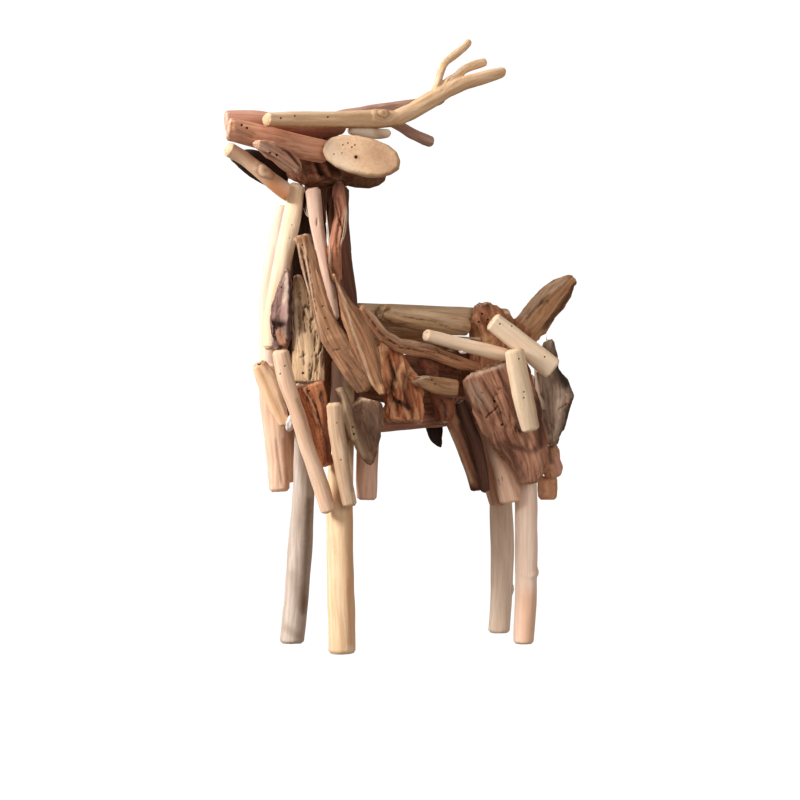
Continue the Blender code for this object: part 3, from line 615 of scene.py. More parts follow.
                # Painted shade in the crack
                self.cavity += 0.9 * cut
            elif kind == "groove":
                cut = np.exp(-(far / size) ** 2) * taper * facing
                self.depth -= amount * cut
                # Painted shade in the groove
                self.cavity += 0.35 * cut * min(1.0, amount)
            elif kind == "ridge":
                self.depth += amount * np.clip(1 - far / size, 0, 1) * taper * facing
            elif kind == "fold":
                fall = np.minimum(far / size, 1.0) * np.where(side > 0, 1.0, 0.45)
                fall *= smoothstep(0.0, 0.05, share) * smoothstep(1.0, 0.95, share)
                self.depth -= amount * fall
                # Painted highlight along the edge of the fold
                self.pale += 0.35 * np.exp(-(far / 1.3) ** 2) * taper * facing


def carve(base, look, seed, marks):
    """Moves the points of a base mesh and notes painted shade in hollows, stains with some
    painted shade, and pale places with some painted highlights.
    """
    work = Carving(base, look, seed)
    for kind, size, amount, line in marks:
        if kind == "knot":
            for spot in line:
                work.knot(spot, size, amount)
    work.relief()
    work.cut_ends()
    work.draw(marks)
    depth = np.minimum(work.depth, look["proud"])
    masks = np.clip([work.cavity, work.stain, work.blush, work.pale], 0, 1)
    return dict(base, points=work.points + work.normals * depth[:, None], wood=work.bent,
                masks=masks.T, ends=work.ends)


def refine(base, marks):
    """Splits the faces round worm holes, so that a hole is round."""
    holes = [(x, y, size) for kind, size, _, line in marks if kind == "hole" for x, y in line]
    if not holes:
        return base
    mesh = as_mesh("finer", base["points"], base["faces"])
    write(mesh, "wood", "FLOAT_VECTOR", "vector", base["wood"])
    write(mesh, "cap", "FLOAT", "value", base["cap"])
    shape = bmesh.new()
    shape.from_mesh(mesh)
    _, out = normals_of(base["points"], base["faces"])
    for reach in (2.4, 1.5):
        shape.verts.ensure_lookup_table()
        points = np.array([v.co[:] for v in shape.verts])
        spots = pixels(points)
        chosen = set()
        for x, y, size in holes:
            far = ((spots - (x, y)) ** 2).sum(axis=1)
            for i in np.where(far < (size * reach + 1.2) ** 2)[0]:
                faces = shape.verts[int(i)].link_faces
                normal = sum((np.array(face.normal[:]) for face in faces), np.zeros(3))
                if (1 if out else -1) * (normal @ (EYE - points[i])) > 0:
                    chosen.update(faces)
            shape.normal_update()
        shape.edges.index_update()
        edges = sorted({edge for face in chosen for edge in face.edges},
                       key=lambda edge: edge.index)
        bmesh.ops.subdivide_edges(shape, edges=edges, cuts=1, use_grid_fill=True)
        shape.normal_update()
    shape.to_mesh(mesh)
    shape.free()
    faces = []
    for face in mesh.polygons:
        corners = list(face.vertices)
        if len(corners) <= 4:
            faces.append(corners)
        else:
            faces += [[corners[0], a, b] for a, b in zip(corners[1:], corners[2:])]
    finer = dict(base, faces=faces, points=read(mesh.vertices, "co", 3),
                 wood=read(mesh.attributes["wood"].data, "vector", 3),
                 cap=read(mesh.attributes["cap"].data, "value", 1).ravel())
    bpy.data.meshes.remove(mesh)
    return finer


def linear(colour):
    """An sRGB colour, as six hexadecimal digits, in linear values."""
    values = []
    for start, tint in zip((0, 2, 4), TINT):
        c = int(colour[start:start + 2], 16) / 255.0
        c = c / 12.92 if c <= 0.04045 else ((c + 0.055) / 1.055) ** 2.4
        values.append(WOOD_LEVEL * c * tint)
    return values + [1.0]


class Nodes:
    """Short ways to wire a material."""

    def __init__(self, material):
        material.use_nodes = True
        self.tree = material.node_tree
        self.shader = self.tree.nodes["Principled BSDF"]

    def new(self, kind, **values):
        node = self.tree.nodes.new(kind)
        for key, value in values.items():
            setattr(node, key, value)
        return node

    def feed(self, socket, value):
        if hasattr(value, "is_linked"):
            self.tree.links.new(value, socket)
        else:
            socket.default_value = value

    def math(self, operation, a, b=0.0, clamp=False):
        node = self.new("ShaderNodeMath", operation=operation, use_clamp=clamp)
        self.feed(node.inputs[0], a)
        self.feed(node.inputs[1], b)
        return node.outputs[0]

    def noise(self, vector, across, along, detail, rough):
        """Noise that repeats so often in a unit across the grain and along it."""
        scaled = self.new("ShaderNodeVectorMath", operation="MULTIPLY")
        self.feed(scaled.inputs[0], vector)
        scaled.inputs[1].default_value = (across, across, along)
        node = self.new("ShaderNodeTexNoise")
        self.feed(node.inputs["Vector"], scaled.outputs[0])
        for name, value in (("Scale", 1.0), ("Detail", detail), ("Roughness", rough)):
            node.inputs[name].default_value = value
        return node.outputs[0]

    def span(self, value, low, high):
        node = self.new("ShaderNodeMapRange", interpolation_type="SMOOTHSTEP")
        self.feed(node.inputs["Value"], value)
        node.inputs["From Min"].default_value = low
        node.inputs["From Max"].default_value = high
        return node.outputs[0]

    def mix(self, share, a, b):
        node = self.new("ShaderNodeMix", data_type="RGBA")
        self.feed(node.inputs["Factor"], share)
        self.feed(node.inputs[6], a)
        self.feed(node.inputs[7], b)
        return node.outputs[2]


def driftwood(name, look, seed):
    """Dry wood: streaks along the grain, pores, painted shade in cracks and hollows, stains with
    some painted shade, pale places with some painted highlights, and end grain.
    """
    material = bpy.data.materials.new(name)
    n = Nodes(material)
    wood = n.new("ShaderNodeAttribute", attribute_name="wood").outputs["Vector"]
    marks = n.new("ShaderNodeAttribute", attribute_name="marks")
    parts = n.new("ShaderNodeSeparateColor")
    n.feed(parts.inputs[0], marks.outputs["Color"])
    cavity, stain, blush = parts.outputs[0], parts.outputs[1], parts.outputs[2]
    pale = marks.outputs["Alpha"]
    ends = n.new("ShaderNodeAttribute", attribute_name="ends").outputs["Fac"]
    moved = n.new("ShaderNodeVectorMath", operation="ADD")
    n.feed(moved.inputs[0], wood)
    moved.inputs[1].default_value = (3.1 * seed, -2.3 * seed, 7.9 * seed)
    wood = moved.outputs[0]

    light, mid, dark = (linear(c) for c in look["colours"].split())
    streaks = n.noise(wood, 0.75, 0.035, 4.0, 0.6)
    hairs = n.noise(wood, 2.6, 0.09, 3.0, 0.6)
    broad = n.noise(wood, 0.13, 0.03, 2.0, 0.5)
    pores = n.noise(wood, 4.2, 0.8, 2.0, 0.5)

    colour = n.mix(n.span(streaks, 0.36, 0.62), mid, light)
    colour = n.mix(n.math("MULTIPLY", n.span(broad, 0.45, 0.7), look["patchy"]), colour, mid)
    colour = n.mix(n.math("MULTIPLY", n.span(hairs, 0.56, 0.74), look["streaky"]), colour, dark)
    fleck = n.math("MULTIPLY", n.span(pores, 0.6, 0.72), look["flecks"])
    colour = n.mix(fleck, colour, dark)
    colour = n.mix(n.math("MULTIPLY", blush, n.span(streaks, 0.15, 0.45)), colour,
                   linear(look["blush"]))
    # Pale places, partly painted highlights on lit ridges, tops and fold edges
    colour = n.mix(pale, colour, linear(look["pale"]))
    stained_and_shaded = n.math("MULTIPLY", stain, n.span(n.math("ADD", stain, streaks), 0.3, 0.9))
    # Stains, and stain marks that paint shade on the shaded sides of pieces, go towards the dark
    # colour
    colour = n.mix(stained_and_shaded, colour, dark)

    cut = n.mix(n.span(n.noise(wood, 0.6, 0.1, 4.0, 0.6), 0.35, 0.65), linear(look["end"]), mid)
    colour = n.mix(n.math("MULTIPLY", ends, 0.85), colour, cut)
    # Painted shade: cracks, hollows and shaded places go towards the deep colour
    colour = n.mix(n.math("MULTIPLY", cavity, 0.92, clamp=True), colour, linear(DEEP_SHADE))
    n.feed(n.shader.inputs["Base Color"], colour)

    shine = n.math("ADD", n.math("MULTIPLY", streaks, 0.25), ROUGHNESS)
    n.feed(n.shader.inputs["Roughness"], shine)
    n.shader.inputs["Specular IOR Level"].default_value = 0.28
    bump = n.new("ShaderNodeBump")
    bump.inputs["Strength"].default_value = look["bump"]
    bump.inputs["Distance"].default_value = 0.25 * MM
    height = n.math("ADD", n.math("MULTIPLY", hairs, 0.8), n.math("MULTIPLY", streaks, 0.8))
    height = n.math("SUBTRACT", height, n.math("MULTIPLY", fleck, 0.8))
    n.feed(bump.inputs["Height"], height)
    n.feed(n.shader.inputs["Normal"], bump.outputs[0])
    return material


# How wood looks, unless a kind or a piece says otherwise. Sizes are in millimetres.
PLAIN = dict(
    # the mesh: voxel is 0 for a plain stick, and short is for a slice across a stick
    voxel=0.0, smoothing=14, coarse=1.0, short=False,
    # its relief; proud is how far it may stand off the solid
    swell=0.0, lump=0.2, flute=0.09, fine=0.05, wander=1.0, proud=0.3, ragged=0.12, checks=2,
    # crest is the strength of the painted highlight on the crests of gnarled folds
    gnarl=0.0, gnarl_size=8.0, gnarl_run=2.2, crest=0.0,
    furrow=0.0, furrow_width=2.0, furrow_run=13.0, furrow_gaps=0.25, furrow_dark=0.35,
    # and its colours
    blush="be7850", pale="f0dcbe", end="dec29e", bump=0.5, patchy=0.5, streaky=0.28, flecks=0.22)
STICK = dict(PLAIN)
WEATHERED = dict(PLAIN, flute=0.2, furrow=0.4, furrow_gaps=0.05, fine=0.08, ragged=0.35)
PLANK = dict(PLAIN, voxel=VOXEL, flute=0.25, furrow=0.5, furrow_width=2.6, furrow_gaps=0.0,
             fine=0.1, ragged=0.5, lump=0.35, streaky=0.45, bump=0.9)
ROOT = dict(PLAIN, voxel=VOXEL, wander=2.4, gnarl=0.9, furrow=0.4, furrow_gaps=0.1, fine=0.12,
            lump=0.5, ragged=0.6, streaky=0.5, patchy=0.8, proud=0.6, smoothing=12, flute=0.2,
            bump=0.9)
SLICE = dict(PLAIN, voxel=VOXEL, short=True, lump=0.12, flute=0.0, fine=0.03, flecks=0.4,
             checks=1, ragged=0.1, smoothing=8, streaky=0.15)
ROUGH_STICK = dict(coarse=1.5)
ROUGH_PLANK = dict(voxel=0.9)


def wood(kind, colours, marks="", **own):
    """How a piece looks and its marks, from a light, a middle and a dark colour and its marks.

    A line of marks says: kind size amount: x,y x,y; x,y x,y
    The size is in pixels, the amount in millimetres for relief, and each x,y is a pixel that
    the mark runs through. A semicolon starts another mark of the same kind and size.
    """
    rows = []
    for row in marks.split("\n"):
        if not row.strip():
            continue
        head, lines = row.split(":")
        mark, size, amount = head.split()
        for line in lines.split(";"):
            spots = [tuple(float(v) for v in spot.split(",")) for spot in line.split()]
            rows.append((mark, float(size), float(amount), spots))
    return dict(kind, colours=colours, **own), rows


PIECES = {
    "belly_bar": wood(WEATHERED, "b8846c 966450 583428", coarse=1.3),
    # Its top is darkened by the shade and stain marks as painted shadow under the neck plank, and
    # the stain down its right side is painted shade
    "leg_near_front": wood(STICK, "f6dab2 eac496 ce9868", """
        crack 0.7 0.25: 335,550 335,558
        shade 16 1.6: 330,340 331,396
        stain 12 1: 330,340 331,388
        stain 5 0.55: 350,505 350,642""", streaky=0.12, flecks=0.1, coarse=1.25),
    "leg_far_front": wood(STICK, "ded2c2 c8b6a4 907862", """
        stain 7 0.4: 294,575 301,604
        stain 5 0.45: 286,628 298,636
        stain 3.5 0.7: 309,500 306,560 303,612""", patchy=0.9, coarse=1.25),
    "leg_near_hind": wood(STICK, "fce6d0 f2d4ba c49878", """
        ridge 2.4 0.9: 519,573 529,577 544,572
        blush 12 0.7: 528,600 528,640
        knot 2.6 0.7: 541,572""",
        streaky=0.15, flecks=0.1, proud=0.9, coarse=1.25, blush="e8b48c"),
    # Its colours are made light to stand in for the key light that the near legs and body keep
    # off it: painted light
    "leg_far_hind": wood(STICK, "fae6ce ecd2b6 ba9678", """
        knot 3 0.7: 515,590""", streaky=0.15, proud=0.8, coarse=1.25),
    # These dark colours paint the shade deep inside the neck and chest
    "neck_post": wood(WEATHERED, "80543e 5e3a2c 321e16", coarse=1.3),
    "neck_back_plank": wood(PLANK, "4c3226 36231c 1c120f", **ROUGH_PLANK),
    "chest_cross_stick": wood(WEATHERED, "7c523c 5a3a2c 301e18", **ROUGH_STICK),
    "rump_chunk": wood(ROOT, "ca8e64 a26846 482a1e", """
        stain 4 0.9: 477,303 487,305
        hole 1.1 0.9: 482,314 488,320 479,322
        groove 2.2 1.2: 476,310 486,324 496,330
        groove 1.8 1: 470,318 478,330 484,345
        blush 7 0.9: 474,338 488,343
        groove 2 1.1: 506,318 520,330 534,338""", blush="d6a470"),
    # The stain beside the shade line down its right edge is painted shade
    "tail": wood(PLANK, "d8aa7e b48056 5a3622", """
        fold 9 1.6: 519,324 536,303 556,288 572,275
        groove 2 0.8: 524,316 538,302 552,294
        pale 5 0.35: 520,312 538,294 560,278
        shade 1.6 0.6: 527,318 538,305 548,300
        shade 2 0.5: 548,328 564,306 579,284
        stain 4 0.75: 546,328 562,306 577,286""", furrow=0.2),
    "back_stick": wood(STICK, "e2c8a4 c8a682 825e42", coarse=1.3),
    "far_shoulder_plank": wood(PLANK, "d4a47a b2825c 62402a", **ROUGH_PLANK),
    "far_shoulder_stick": wood(STICK, "e8c6a6 d0aa8a 8c624a", **ROUGH_STICK),
    "far_neck_plank": wood(PLANK, "be8c68 9c6c4e 563626", **ROUGH_PLANK),
    "far_thigh_stick": wood(STICK, "e4bca0 c89e82 825844", **ROUGH_STICK),
    "far_hip_chunk": wood(ROOT, "c48e6c 9c6a4e 4e2e22", **ROUGH_PLANK),
    "far_flank_log": wood(WEATHERED, "dcb88c bc946a 6c4a30", **ROUGH_STICK),
    "far_flank_plank": wood(PLANK, "b07e5c 8c5e44 4a2e20", **ROUGH_PLANK),
    # The stain and shade lines down its right edge are painted shade
    "neck_pink_stick": wood(STICK, "eacab2 d8b49a 966a50", """
        crack 1 0.9: 317,217 317,227
        stain 3.5 0.7: 323,196 326,232 331,262 336,296
        shade 2.2 0.5: 324,196 328,232 333,262 338,300""", streaky=0.15),
    "throat_far_stick": wood(STICK, "fce2cc f2d0b4 d0a282", streaky=0.15),
    # The stain and shade lines down its right side are painted shade
    "throat_cream_stick": wood(STICK, "fceaca f4d8ae ba8a60", """
        hole 0.6 0.3: 292,225 290,238
        stain 4.5 0.85: 310,196 306,225 300,246 292,276
        shade 2.4 0.5: 309,205 305,228 298,250 292,276""", streaky=0.12),
    "nape_strip": wood(PLANK, "ce9270 b07254 5a3222", """
        stain 6 0.8: 337,184 334,196
        blush 7 0.7: 334,250 333,274
        crack 1.4 1.1: 333,200 338,215 344,232 342,246
        groove 1.8 1: 338,194 342,212 337,238 338,262
        groove 1.6 0.8: 332,252 331,270
        stain 2.5 0.8: 332,268 336,276
        pale 1.8 0.9: 347,208 347,226 343,240""", blush="ce8862"),
    "belly_black_splinter": wood(WEATHERED, "382822 281c18 160f0c"),
    "groin_stick_front": wood(WEATHERED, "c48e6c 9c684c 42261c", """
        stain 5 1: 472,490 484,492
        groove 1.5 0.8: 456,428 467,458 479,484
        stain 2.4 0.8: 460,425 472,458 483,484
        pale 2 0.4: 451,432 462,462 472,482"""),
    "groin_stick_rear": wood(WEATHERED, "684636 4c3025 241611"),
    "thigh_pink_stick": wood(STICK, "f8d6b8 e8be9c b47a58", """
        stain 3 0.6: 488,425 503,462 518,496
        crack 0.7 0.5: 498,478 500,486
        crack 0.6 0.4: 502,476 503,482""", streaky=0.2),
    # The pale line along its top is a painted highlight and the long stain along its underside is
    # painted shade; the stain at its left end is its bark rim
    "back_log": wood(PLANK, "e4c294 c69e70 704c30", """
        pale 3.5 0.4: 392,310 430,316 460,324
        stain 3.5 0.9: 398,329 430,334 462,341
        groove 1.6 0.8: 386,309 381,314 384,320 391,323
        stain 2.4 0.9: 388,309 381,313 380,320
        crack 0.8 0.5: 402,316 430,321 452,328""", furrow=0.25, streaky=0.35),
    # Its pale marks on the ridges between the grooves are painted highlights
    "flank_gnarled_root": wood(ROOT, "e69c6c ba6e46 542818", """
        pale 2.5 0.6: 380,370 384,350 391,344
        pale 1.5 0.8: 396,388 402,364; 404,388 411,368
        pale 1.6 0.7: 413,370 424,352
        hole 1.6 1.3: 399,402
        shade 2.5 0.7: 394,400 402,403 408,408
        shade 2.2 0.6: 390,362 393,378 389,396; 406,372 403,388 410,408
        stain 3 0.7: 398,402 408,406
        groove 2.6 1.8: 385,350 392,372 388,400
        groove 2.4 1.8: 399,362 392,392 399,420
        groove 2.2 1.5: 411,366 405,395 412,420""",
        pale="f6c492", gnarl=1.5, gnarl_size=4.2, gnarl_run=4.0, crest=0.55, proud=0.8),
    "flank_dark_root": wood(ROOT, "a06446 744632 321c14", """
        groove 2 1.2: 436,398 444,406 446,420
        pale 1.2 0.25: 440,402 447,414"""),
    "flank_bent_strand": wood(PLANK, "deaa80 bc845e 5c3624", """
        crack 1.2 1.4: 362,308 380,333 400,348 440,353 470,364
        groove 1.6 0.9: 380,326 402,342 436,349 466,359
        pale 1.6 0.5: 366,306 384,328 404,342 440,347 470,358"""),
    "flank_small_plank": wood(PLANK, "d4ac82 ac825c 5a3a28", """
        pale 1.5 0.9: 414,380 428,376
        hole 0.8 0.7: 432,380 435,384
        stain 4 0.6: 440,396 464,398"""),
    "breast_cracked_plank": wood(PLANK, "dec096 c09c74 6c462e", """
        crack 0.9 0.9: 298,314 300,326 299,338; 310,318 311,334; 303,350 304,366
        crack 1 1: 304,306 303,318 306,334; 315,336 315,352
        crack 1 1: 299,358 304,355 307,352; 311,357 317,355 320,352
        crack 0.9 0.8: 310,362 311,380
        hole 1.1 0.9: 303,373
        stain 4 0.5: 299,308 303,330
        pale 3 0.4: 296,300 297,340
        shade 2.2 0.6: 322,330 325,360 326,384""",
        furrow=1.0, furrow_width=1.7, furrow_run=7.0, furrow_gaps=0.05, furrow_dark=0.75),
    "neck_long_plank": wood(PLANK, "c0946e 9c704e 543222", """
        groove 1.8 1.4: 299,242 305,270 310,300 316,334
        crack 0.9 1: 300,244 306,272 310,300 316,332
        crack 0.8 0.8: 307,248 311,280 318,320
        fold 7 1: 303,238 308,270 313,300 322,342
        pale 1.4 0.5: 296,240 302,268 307,300 313,330
        hole 0.8 0.7: 302,245 323,306 325,318 328,329
        crack 0.8 0.6: 332,351 341,349
        shade 1.8 0.5: 322,250 330,290 344,326 364,372
        stain 4 0.6: 348,374 360,388""", furrow=0.35, bump=1.2),
    "withers_ridged_plank": wood(PLANK, "c2946a 966644 50301f", """
        fold 10 2.2: 335,276 344,298 353,330 364,362 374,392
        stain 6 0.35: 360,312 370,335 380,362
        shade 1.8 0.5: 331,276 340,300 352,336 366,372 370,392
        crack 0.8 0.5: 356,348 361,370""", bump=1.2, furrow=0.2, flute=0.12),
    "breast_grey_piece": wood(ROOT, "b08e82 84645a 3a2620", """
        fold 6 1.6: 288,270 288,300 286,345
        stain 4.5 0.9: 293,280 293,345
        groove 3 1.7: 268,324 275,328 284,326
        groove 2.4 1.6: 271,330 277,346 287,351
        stain 4 1: 272,322 283,324
        stain 2.5 0.9: 272,338 281,349
        hole 0.9 0.8: 281,287
        pale 1.8 0.5: 287,271 284,302
        blush 4 1: 279,335 284,344""",
        blush="b07c56", gnarl=0.8, gnarl_size=5.0, gnarl_run=3.0, furrow=0.6),
    "breast_far_stick": wood(STICK, "f6d6b8 e6bc9c aa7654", """
        groove 1.5 0.4: 276,436 283,486
        stain 3 0.5: 284,440 287,488"""),
    "breast_slant_piece": wood(PLANK, "f8d4aa eabe90 b07a52", """
        hole 1.9 1.4: 259,363
        stain 3 0.8: 262,363 267,361
        pale 3 0.8: 284,404 291,412""", furrow=0.0, fine=0.04, streaky=0.2),
    # The shade line and the stain at the foot of its right side are painted shade
    "shoulder_red_piece": wood(PLANK, "eca070 d27e50 70361e", """
        crack 1 1.1: 299,386 308,400 318,420; 306,388 316,408 325,440
        crack 0.8 0.8: 298,394 306,414
        hole 1.1 0.9: 309,391
        pale 1.4 0.7: 303,387 312,404 319,424
        pale 1.2 0.6: 315,386 321,404
        shade 2.4 0.7: 322,392 324,420 328,460
        stain 5 0.7: 325,440 329,462""",
        pale="f4be90", furrow=0.8, furrow_width=2.2, furrow_gaps=-0.2, furrow_dark=0.6,
        flute=0.5, lump=0.6),
    "breast_long_stick": wood(STICK, "f2d2b2 e2ba98 a47454", """
        hole 0.8 0.6: 285,366 280,374
        stain 3 0.5: 297,400 317,450 333,500""", streaky=0.2),
    "elbow_stick": wood(STICK, "eec8ac daae92 9c6c52", """
        stain 6 0.6: 361,440 377,440
        shade 4 0.5: 379,430 381,470"""),
    "shoulder_dark_blade": wood(PLANK, "927056 6e503c 3a261c", """
        pale 6 1: 335,388 340,402 346,420 352,438 360,456
        fold 8 1.4: 339,388 352,428 362,458
        pale 1.6 0.9: 353,404 362,399 377,398
        stain 8 0.45: 372,408 374,436
        hole 0.9 0.8: 353,427 354,434""", pale="d8bc96", furrow=0.3, voxel=0.48),
    "shoulder_pale_stick": wood(STICK, "e4c8a6 ccaa86 926e50", """
        hole 0.7 0.5: 337,423 341,460
        stain 2.6 0.45: 343,410 352,490""", streaky=0.15),
    "hip_chunk": wood(ROOT, "cc9a7a a27056 523023", """
        crack 1.2 1.4: 485,419 492,413 499,406
        hole 1.2 1.1: 495,402 502,425
        groove 2.4 1.3: 470,380 492,420 506,470
        groove 2.2 1.2: 480,376 500,410 521,480
        groove 2 1.1: 474,396 488,440 512,482
        pale 3 0.5: 462,376 482,370 502,366
        pale 6 0.4: 474,388 482,404
        stain 8 0.6: 504,445 520,478
        shade 3 0.6: 500,372 508,392 520,430; 514,446 532,452 541,446
        stain 6 0.9: 539,392 541,442""", gnarl=0.7, gnarl_size=7.0, gnarl_run=4.0, furrow=0.5),
    "rump_rear_chunk": wood(ROOT, "927a64 705a48 30231b", """
        pale 7 0.75: 562,392 560,408 556,426 551,436
        stain 5 0.9: 544,350 556,366 566,384
        stain 4 1: 573,402 568,428 560,446
        fold 6 1.2: 574,396 562,406 553,438
        blush 2.5 0.9: 562,406 568,402
        crack 1 1: 558,410 568,403""", pale="d6bca2", gnarl=0.5, gnarl_size=6.0, gnarl_run=4.0),
    "rump_knob": wood(PLANK, "d8a682 b88462 623c2a", """
        blush 4 0.9: 556,460 560,474
        stain 2.5 0.8: 547,446 551,462""",
        furrow=0.2, flute=0.1, lump=0.3, ragged=0.1, blush="e2aa92", swell=0.4, proud=0.9),
    "rump_stub": wood(PLANK, "f0bc92 da9e72 8c563a", """
        stain 3 0.5: 557,482 556,498""",
        furrow=0.0, flute=0.05, lump=0.1, ragged=0.1, streaky=0.2, smoothing=10, swell=0.4,
        proud=0.7),
    "hip_square_bar": wood(PLANK, "f8e2c2 f0d6b2 be946e", """
        hole 0.8 0.7: 500,324 512,326 545,357""",
        end="cea47a", furrow=0.0, flute=0.05, lump=0.1, fine=0.03, ragged=0.12, streaky=0.12,
        flecks=0.1, smoothing=8),
    "flank_pale_stick": wood(STICK, "f8e0c0 eccca8 b28662", streaky=0.12),
    "hip_short_stick": wood(STICK, "f8e2c0 eacea8 a87c56", """
        hole 0.8 0.6: 519,359 524,392 524,398
        stain 2.6 0.55: 529,358 538,425""", streaky=0.15),
    "skull_block": wood(ROOT, "9c6448 704430 321c14", """
        knot 5 1.3: 302,178
        blush 5 0.8: 302,178
        groove 2.2 1.6: 312,152 318,164 323,176; 320,150 330,164 334,180
        groove 1.8 1.2: 326,158 340,172
        stain 5 0.6: 322,158 340,174
        shade 3 0.8: 313,156 318,168 326,178
        pale 2 0.9: 316,150 323,164 330,176
        pale 1.8 0.9: 309,154 314,166 318,178
        pale 1.6 0.8: 334,154 340,164 343,176""",
        blush="ba7856", gnarl=1.2, gnarl_size=5.0, gnarl_run=3.0, crest=0.2, proud=1.0,
        pale="c48a68"),
    # The stain along its underside is painted shade
    "snout_far_stick": wood(STICK, "e0ac92 ca9276 8c5842", """
        stain 6 1: 262,131 300,134 345,135""", end="e8cab4", streaky=0.2),
    "snout_near_stick": wood(WEATHERED, "f2ba96 e0a07c 824e36", """
        hole 1.2 0.9: 242,125 247,128
        stain 3 0.5: 238,131 251,136
        stain 4 0.4: 240,142 300,156""", end="f0ccac", furrow=0.2),
    "jaw_stick": wood(STICK, "fee2c0 fad0a8 ac7650", """
        knot 5.5 1.5: 265,172
        pale 3.5 0.5: 264,170
        blush 7 0.9: 272,186 286,199
        stain 3 0.5: 226,150 228,154""", blush="e89c62", proud=1.3, streaky=0.15),
    # Its near-black colours paint the shade between the jaw and the cheek
    "jaw_far_stick": wood(WEATHERED, "46322a 30221c 18100d"),
    "cheek_flake": wood(PLANK, "e8ba9c ce9676 6e402c", """
        blush 7 1: 290,146 316,156
        stain 4 0.9: 300,172 308,178
        shade 2 0.7: 289,150 300,164 306,174
        groove 2.2 1.5: 276,143 289,152 304,168
        groove 1.5 0.9: 262,151 280,162 296,173
        pale 1.8 0.8: 258,142 270,154 286,166 298,172
        hole 1.2 1: 270,153 277,155 284,150""",
        blush="b47452", pale="f8d6b8", proud=0.5, flute=0.4),
    "antler_far": wood(STICK, "cea892 ac8470 684436", """
        blush 4 0.9: 437,102 446,100""", voxel=0.48, smoothing=32, blush="96543a"),
    "antler_prop": wood(STICK, "fceed4 f6debc be9064", """
        stain 4 0.6: 376,132 384,138""", swell=0.8, proud=0.8),
    # The stain along its underside is painted shade, and the pale line along its top is a painted
    # highlight
    "antler_near": wood(STICK, "f4d4aa e2b88a a47048", """
        stain 4.2 0.9: 270,128 292,129 330,130 374,131 400,127
        pale 4 0.45: 272,113 330,111 366,108 410,92 440,78
        ridge 15 0.4: 372,115 380,114 388,115
        knot 4.5 0.9: 383,114
        hole 0.9 0.7: 281,118 295,116 328,117""",
        voxel=0.48, smoothing=32, proud=1.1, streaky=0.2),
    "ear_near": wood(SLICE, "e4c49e d4ae86 966846", """
        hole 1.6 1: 356,157
        hole 0.7 0.5: 343,145 348,143 352,147 355,145 334,154 342,153
        stain 2.2 0.5: 356,157 358,158
        stain 15 0.5: 376,150 390,168
        pale 10 0.5: 330,150 346,168""", end="dcb68e"),
    # Its dark colours paint the shade on the back of the far ear
    "ear_far": wood(SLICE, "865c3e 68442e 3a2418", end="6e4a32"),
}

# Middle lines of the limbs of pieces that bend or branch, in millimetres
LIMBS = {
    "antler_near": [
        [(-87.8, -13.1, 241.5), (-71, -12, 242.8), (-46, -9.4, 246), (-21.5, -7.9, 250.6),
         (-8, -6.5, 257), (7.6, -6.1, 265.1), (22, -6, 274), (36, -6, 279.5), (48.4, -6, 283.2)],
        [(6.3, -6.1, 265.1), (11.3, -5.1, 276.8), (21.8, -1.1, 288.9), (34.2, 3.9, 299.4)],
        [(10.9, -6.1, 268.6), (27.3, -3.1, 282.6), (40.5, -2.1, 288.2)]],
    "antler_far": [
        [(-56, 14.1, 246.7), (-37, 15.2, 254), (-18, 16.4, 261.2), (4, 18.2, 268.5),
         (27, 20.1, 274.6)],
        [(-10, 17.6, 260.7), (6, 20, 256), (21.8, 22.3, 252.7)]],
    "shoulder_dark_blade": [[(-53, -16.5, 132), (-49.3, -17.7, 120.5), (-37.4, -21.8, 90.9)]],
}

# Beads of white glue: the pixel, the radius in millimetres and the height against it
BEADS = {
    "breast_slant_piece": [((289, 422), 3.0, 1.4)],
    "flank_pale_stick": [((461, 352), 1.2, 1.0), ((464, 354), 0.8, 1.0)],
}

# Slivers that stand off the wood: from pixel, to pixel, and thickness in millimetres
SLIVERS = {
    "nape_strip": [((341, 244), (347, 212), 0.5), ((330, 258), (327, 210), 1.5)],
    "neck_pink_stick": [((305, 215), (302, 204), 0.35), ((306, 218), (300, 209), 0.3)],
    "flank_small_plank": [((424, 378), (409, 382), 0.7), ((422, 376), (413, 375), 0.5)],
    "rump_rear_chunk": [((548, 342), (546, 335), 0.8), ((541, 404), (533, 358), 4.4)],
    "rump_chunk": [((476, 339), (440, 337), 1.8)],
    "shoulder_red_piece": [((296, 385), (312, 382), 1.4)],
}


def glue():
    """White glue with a slight cloud in it."""
    material = bpy.data.materials.new("glue")
    n = Nodes(material)
    place = n.new("ShaderNodeTexCoord").outputs["Object"]
    cloud = n.noise(place, 900.0, 900.0, 3.0, 0.5)
    tint = n.mix(n.span(cloud, 0.35, 0.65), linear("faf8f2"), linear("e2ded4"))
    n.feed(n.shader.inputs["Base Color"], tint)
    n.feed(n.shader.inputs["Roughness"], n.math("ADD", n.math("MULTIPLY", cloud, 0.2), 0.25))
    n.shader.inputs["Specular IOR Level"].default_value = 0.5
    return material


def nearest(done, spot, normals, spots):
    """The carved point that the picture shows at a pixel."""
    toward = (normals * unit(EYE - done["points"])).sum(axis=1) > 0.15
    return int(np.argmin(np.where(toward, ((spots - spot) ** 2).sum(axis=1), 1e9)))


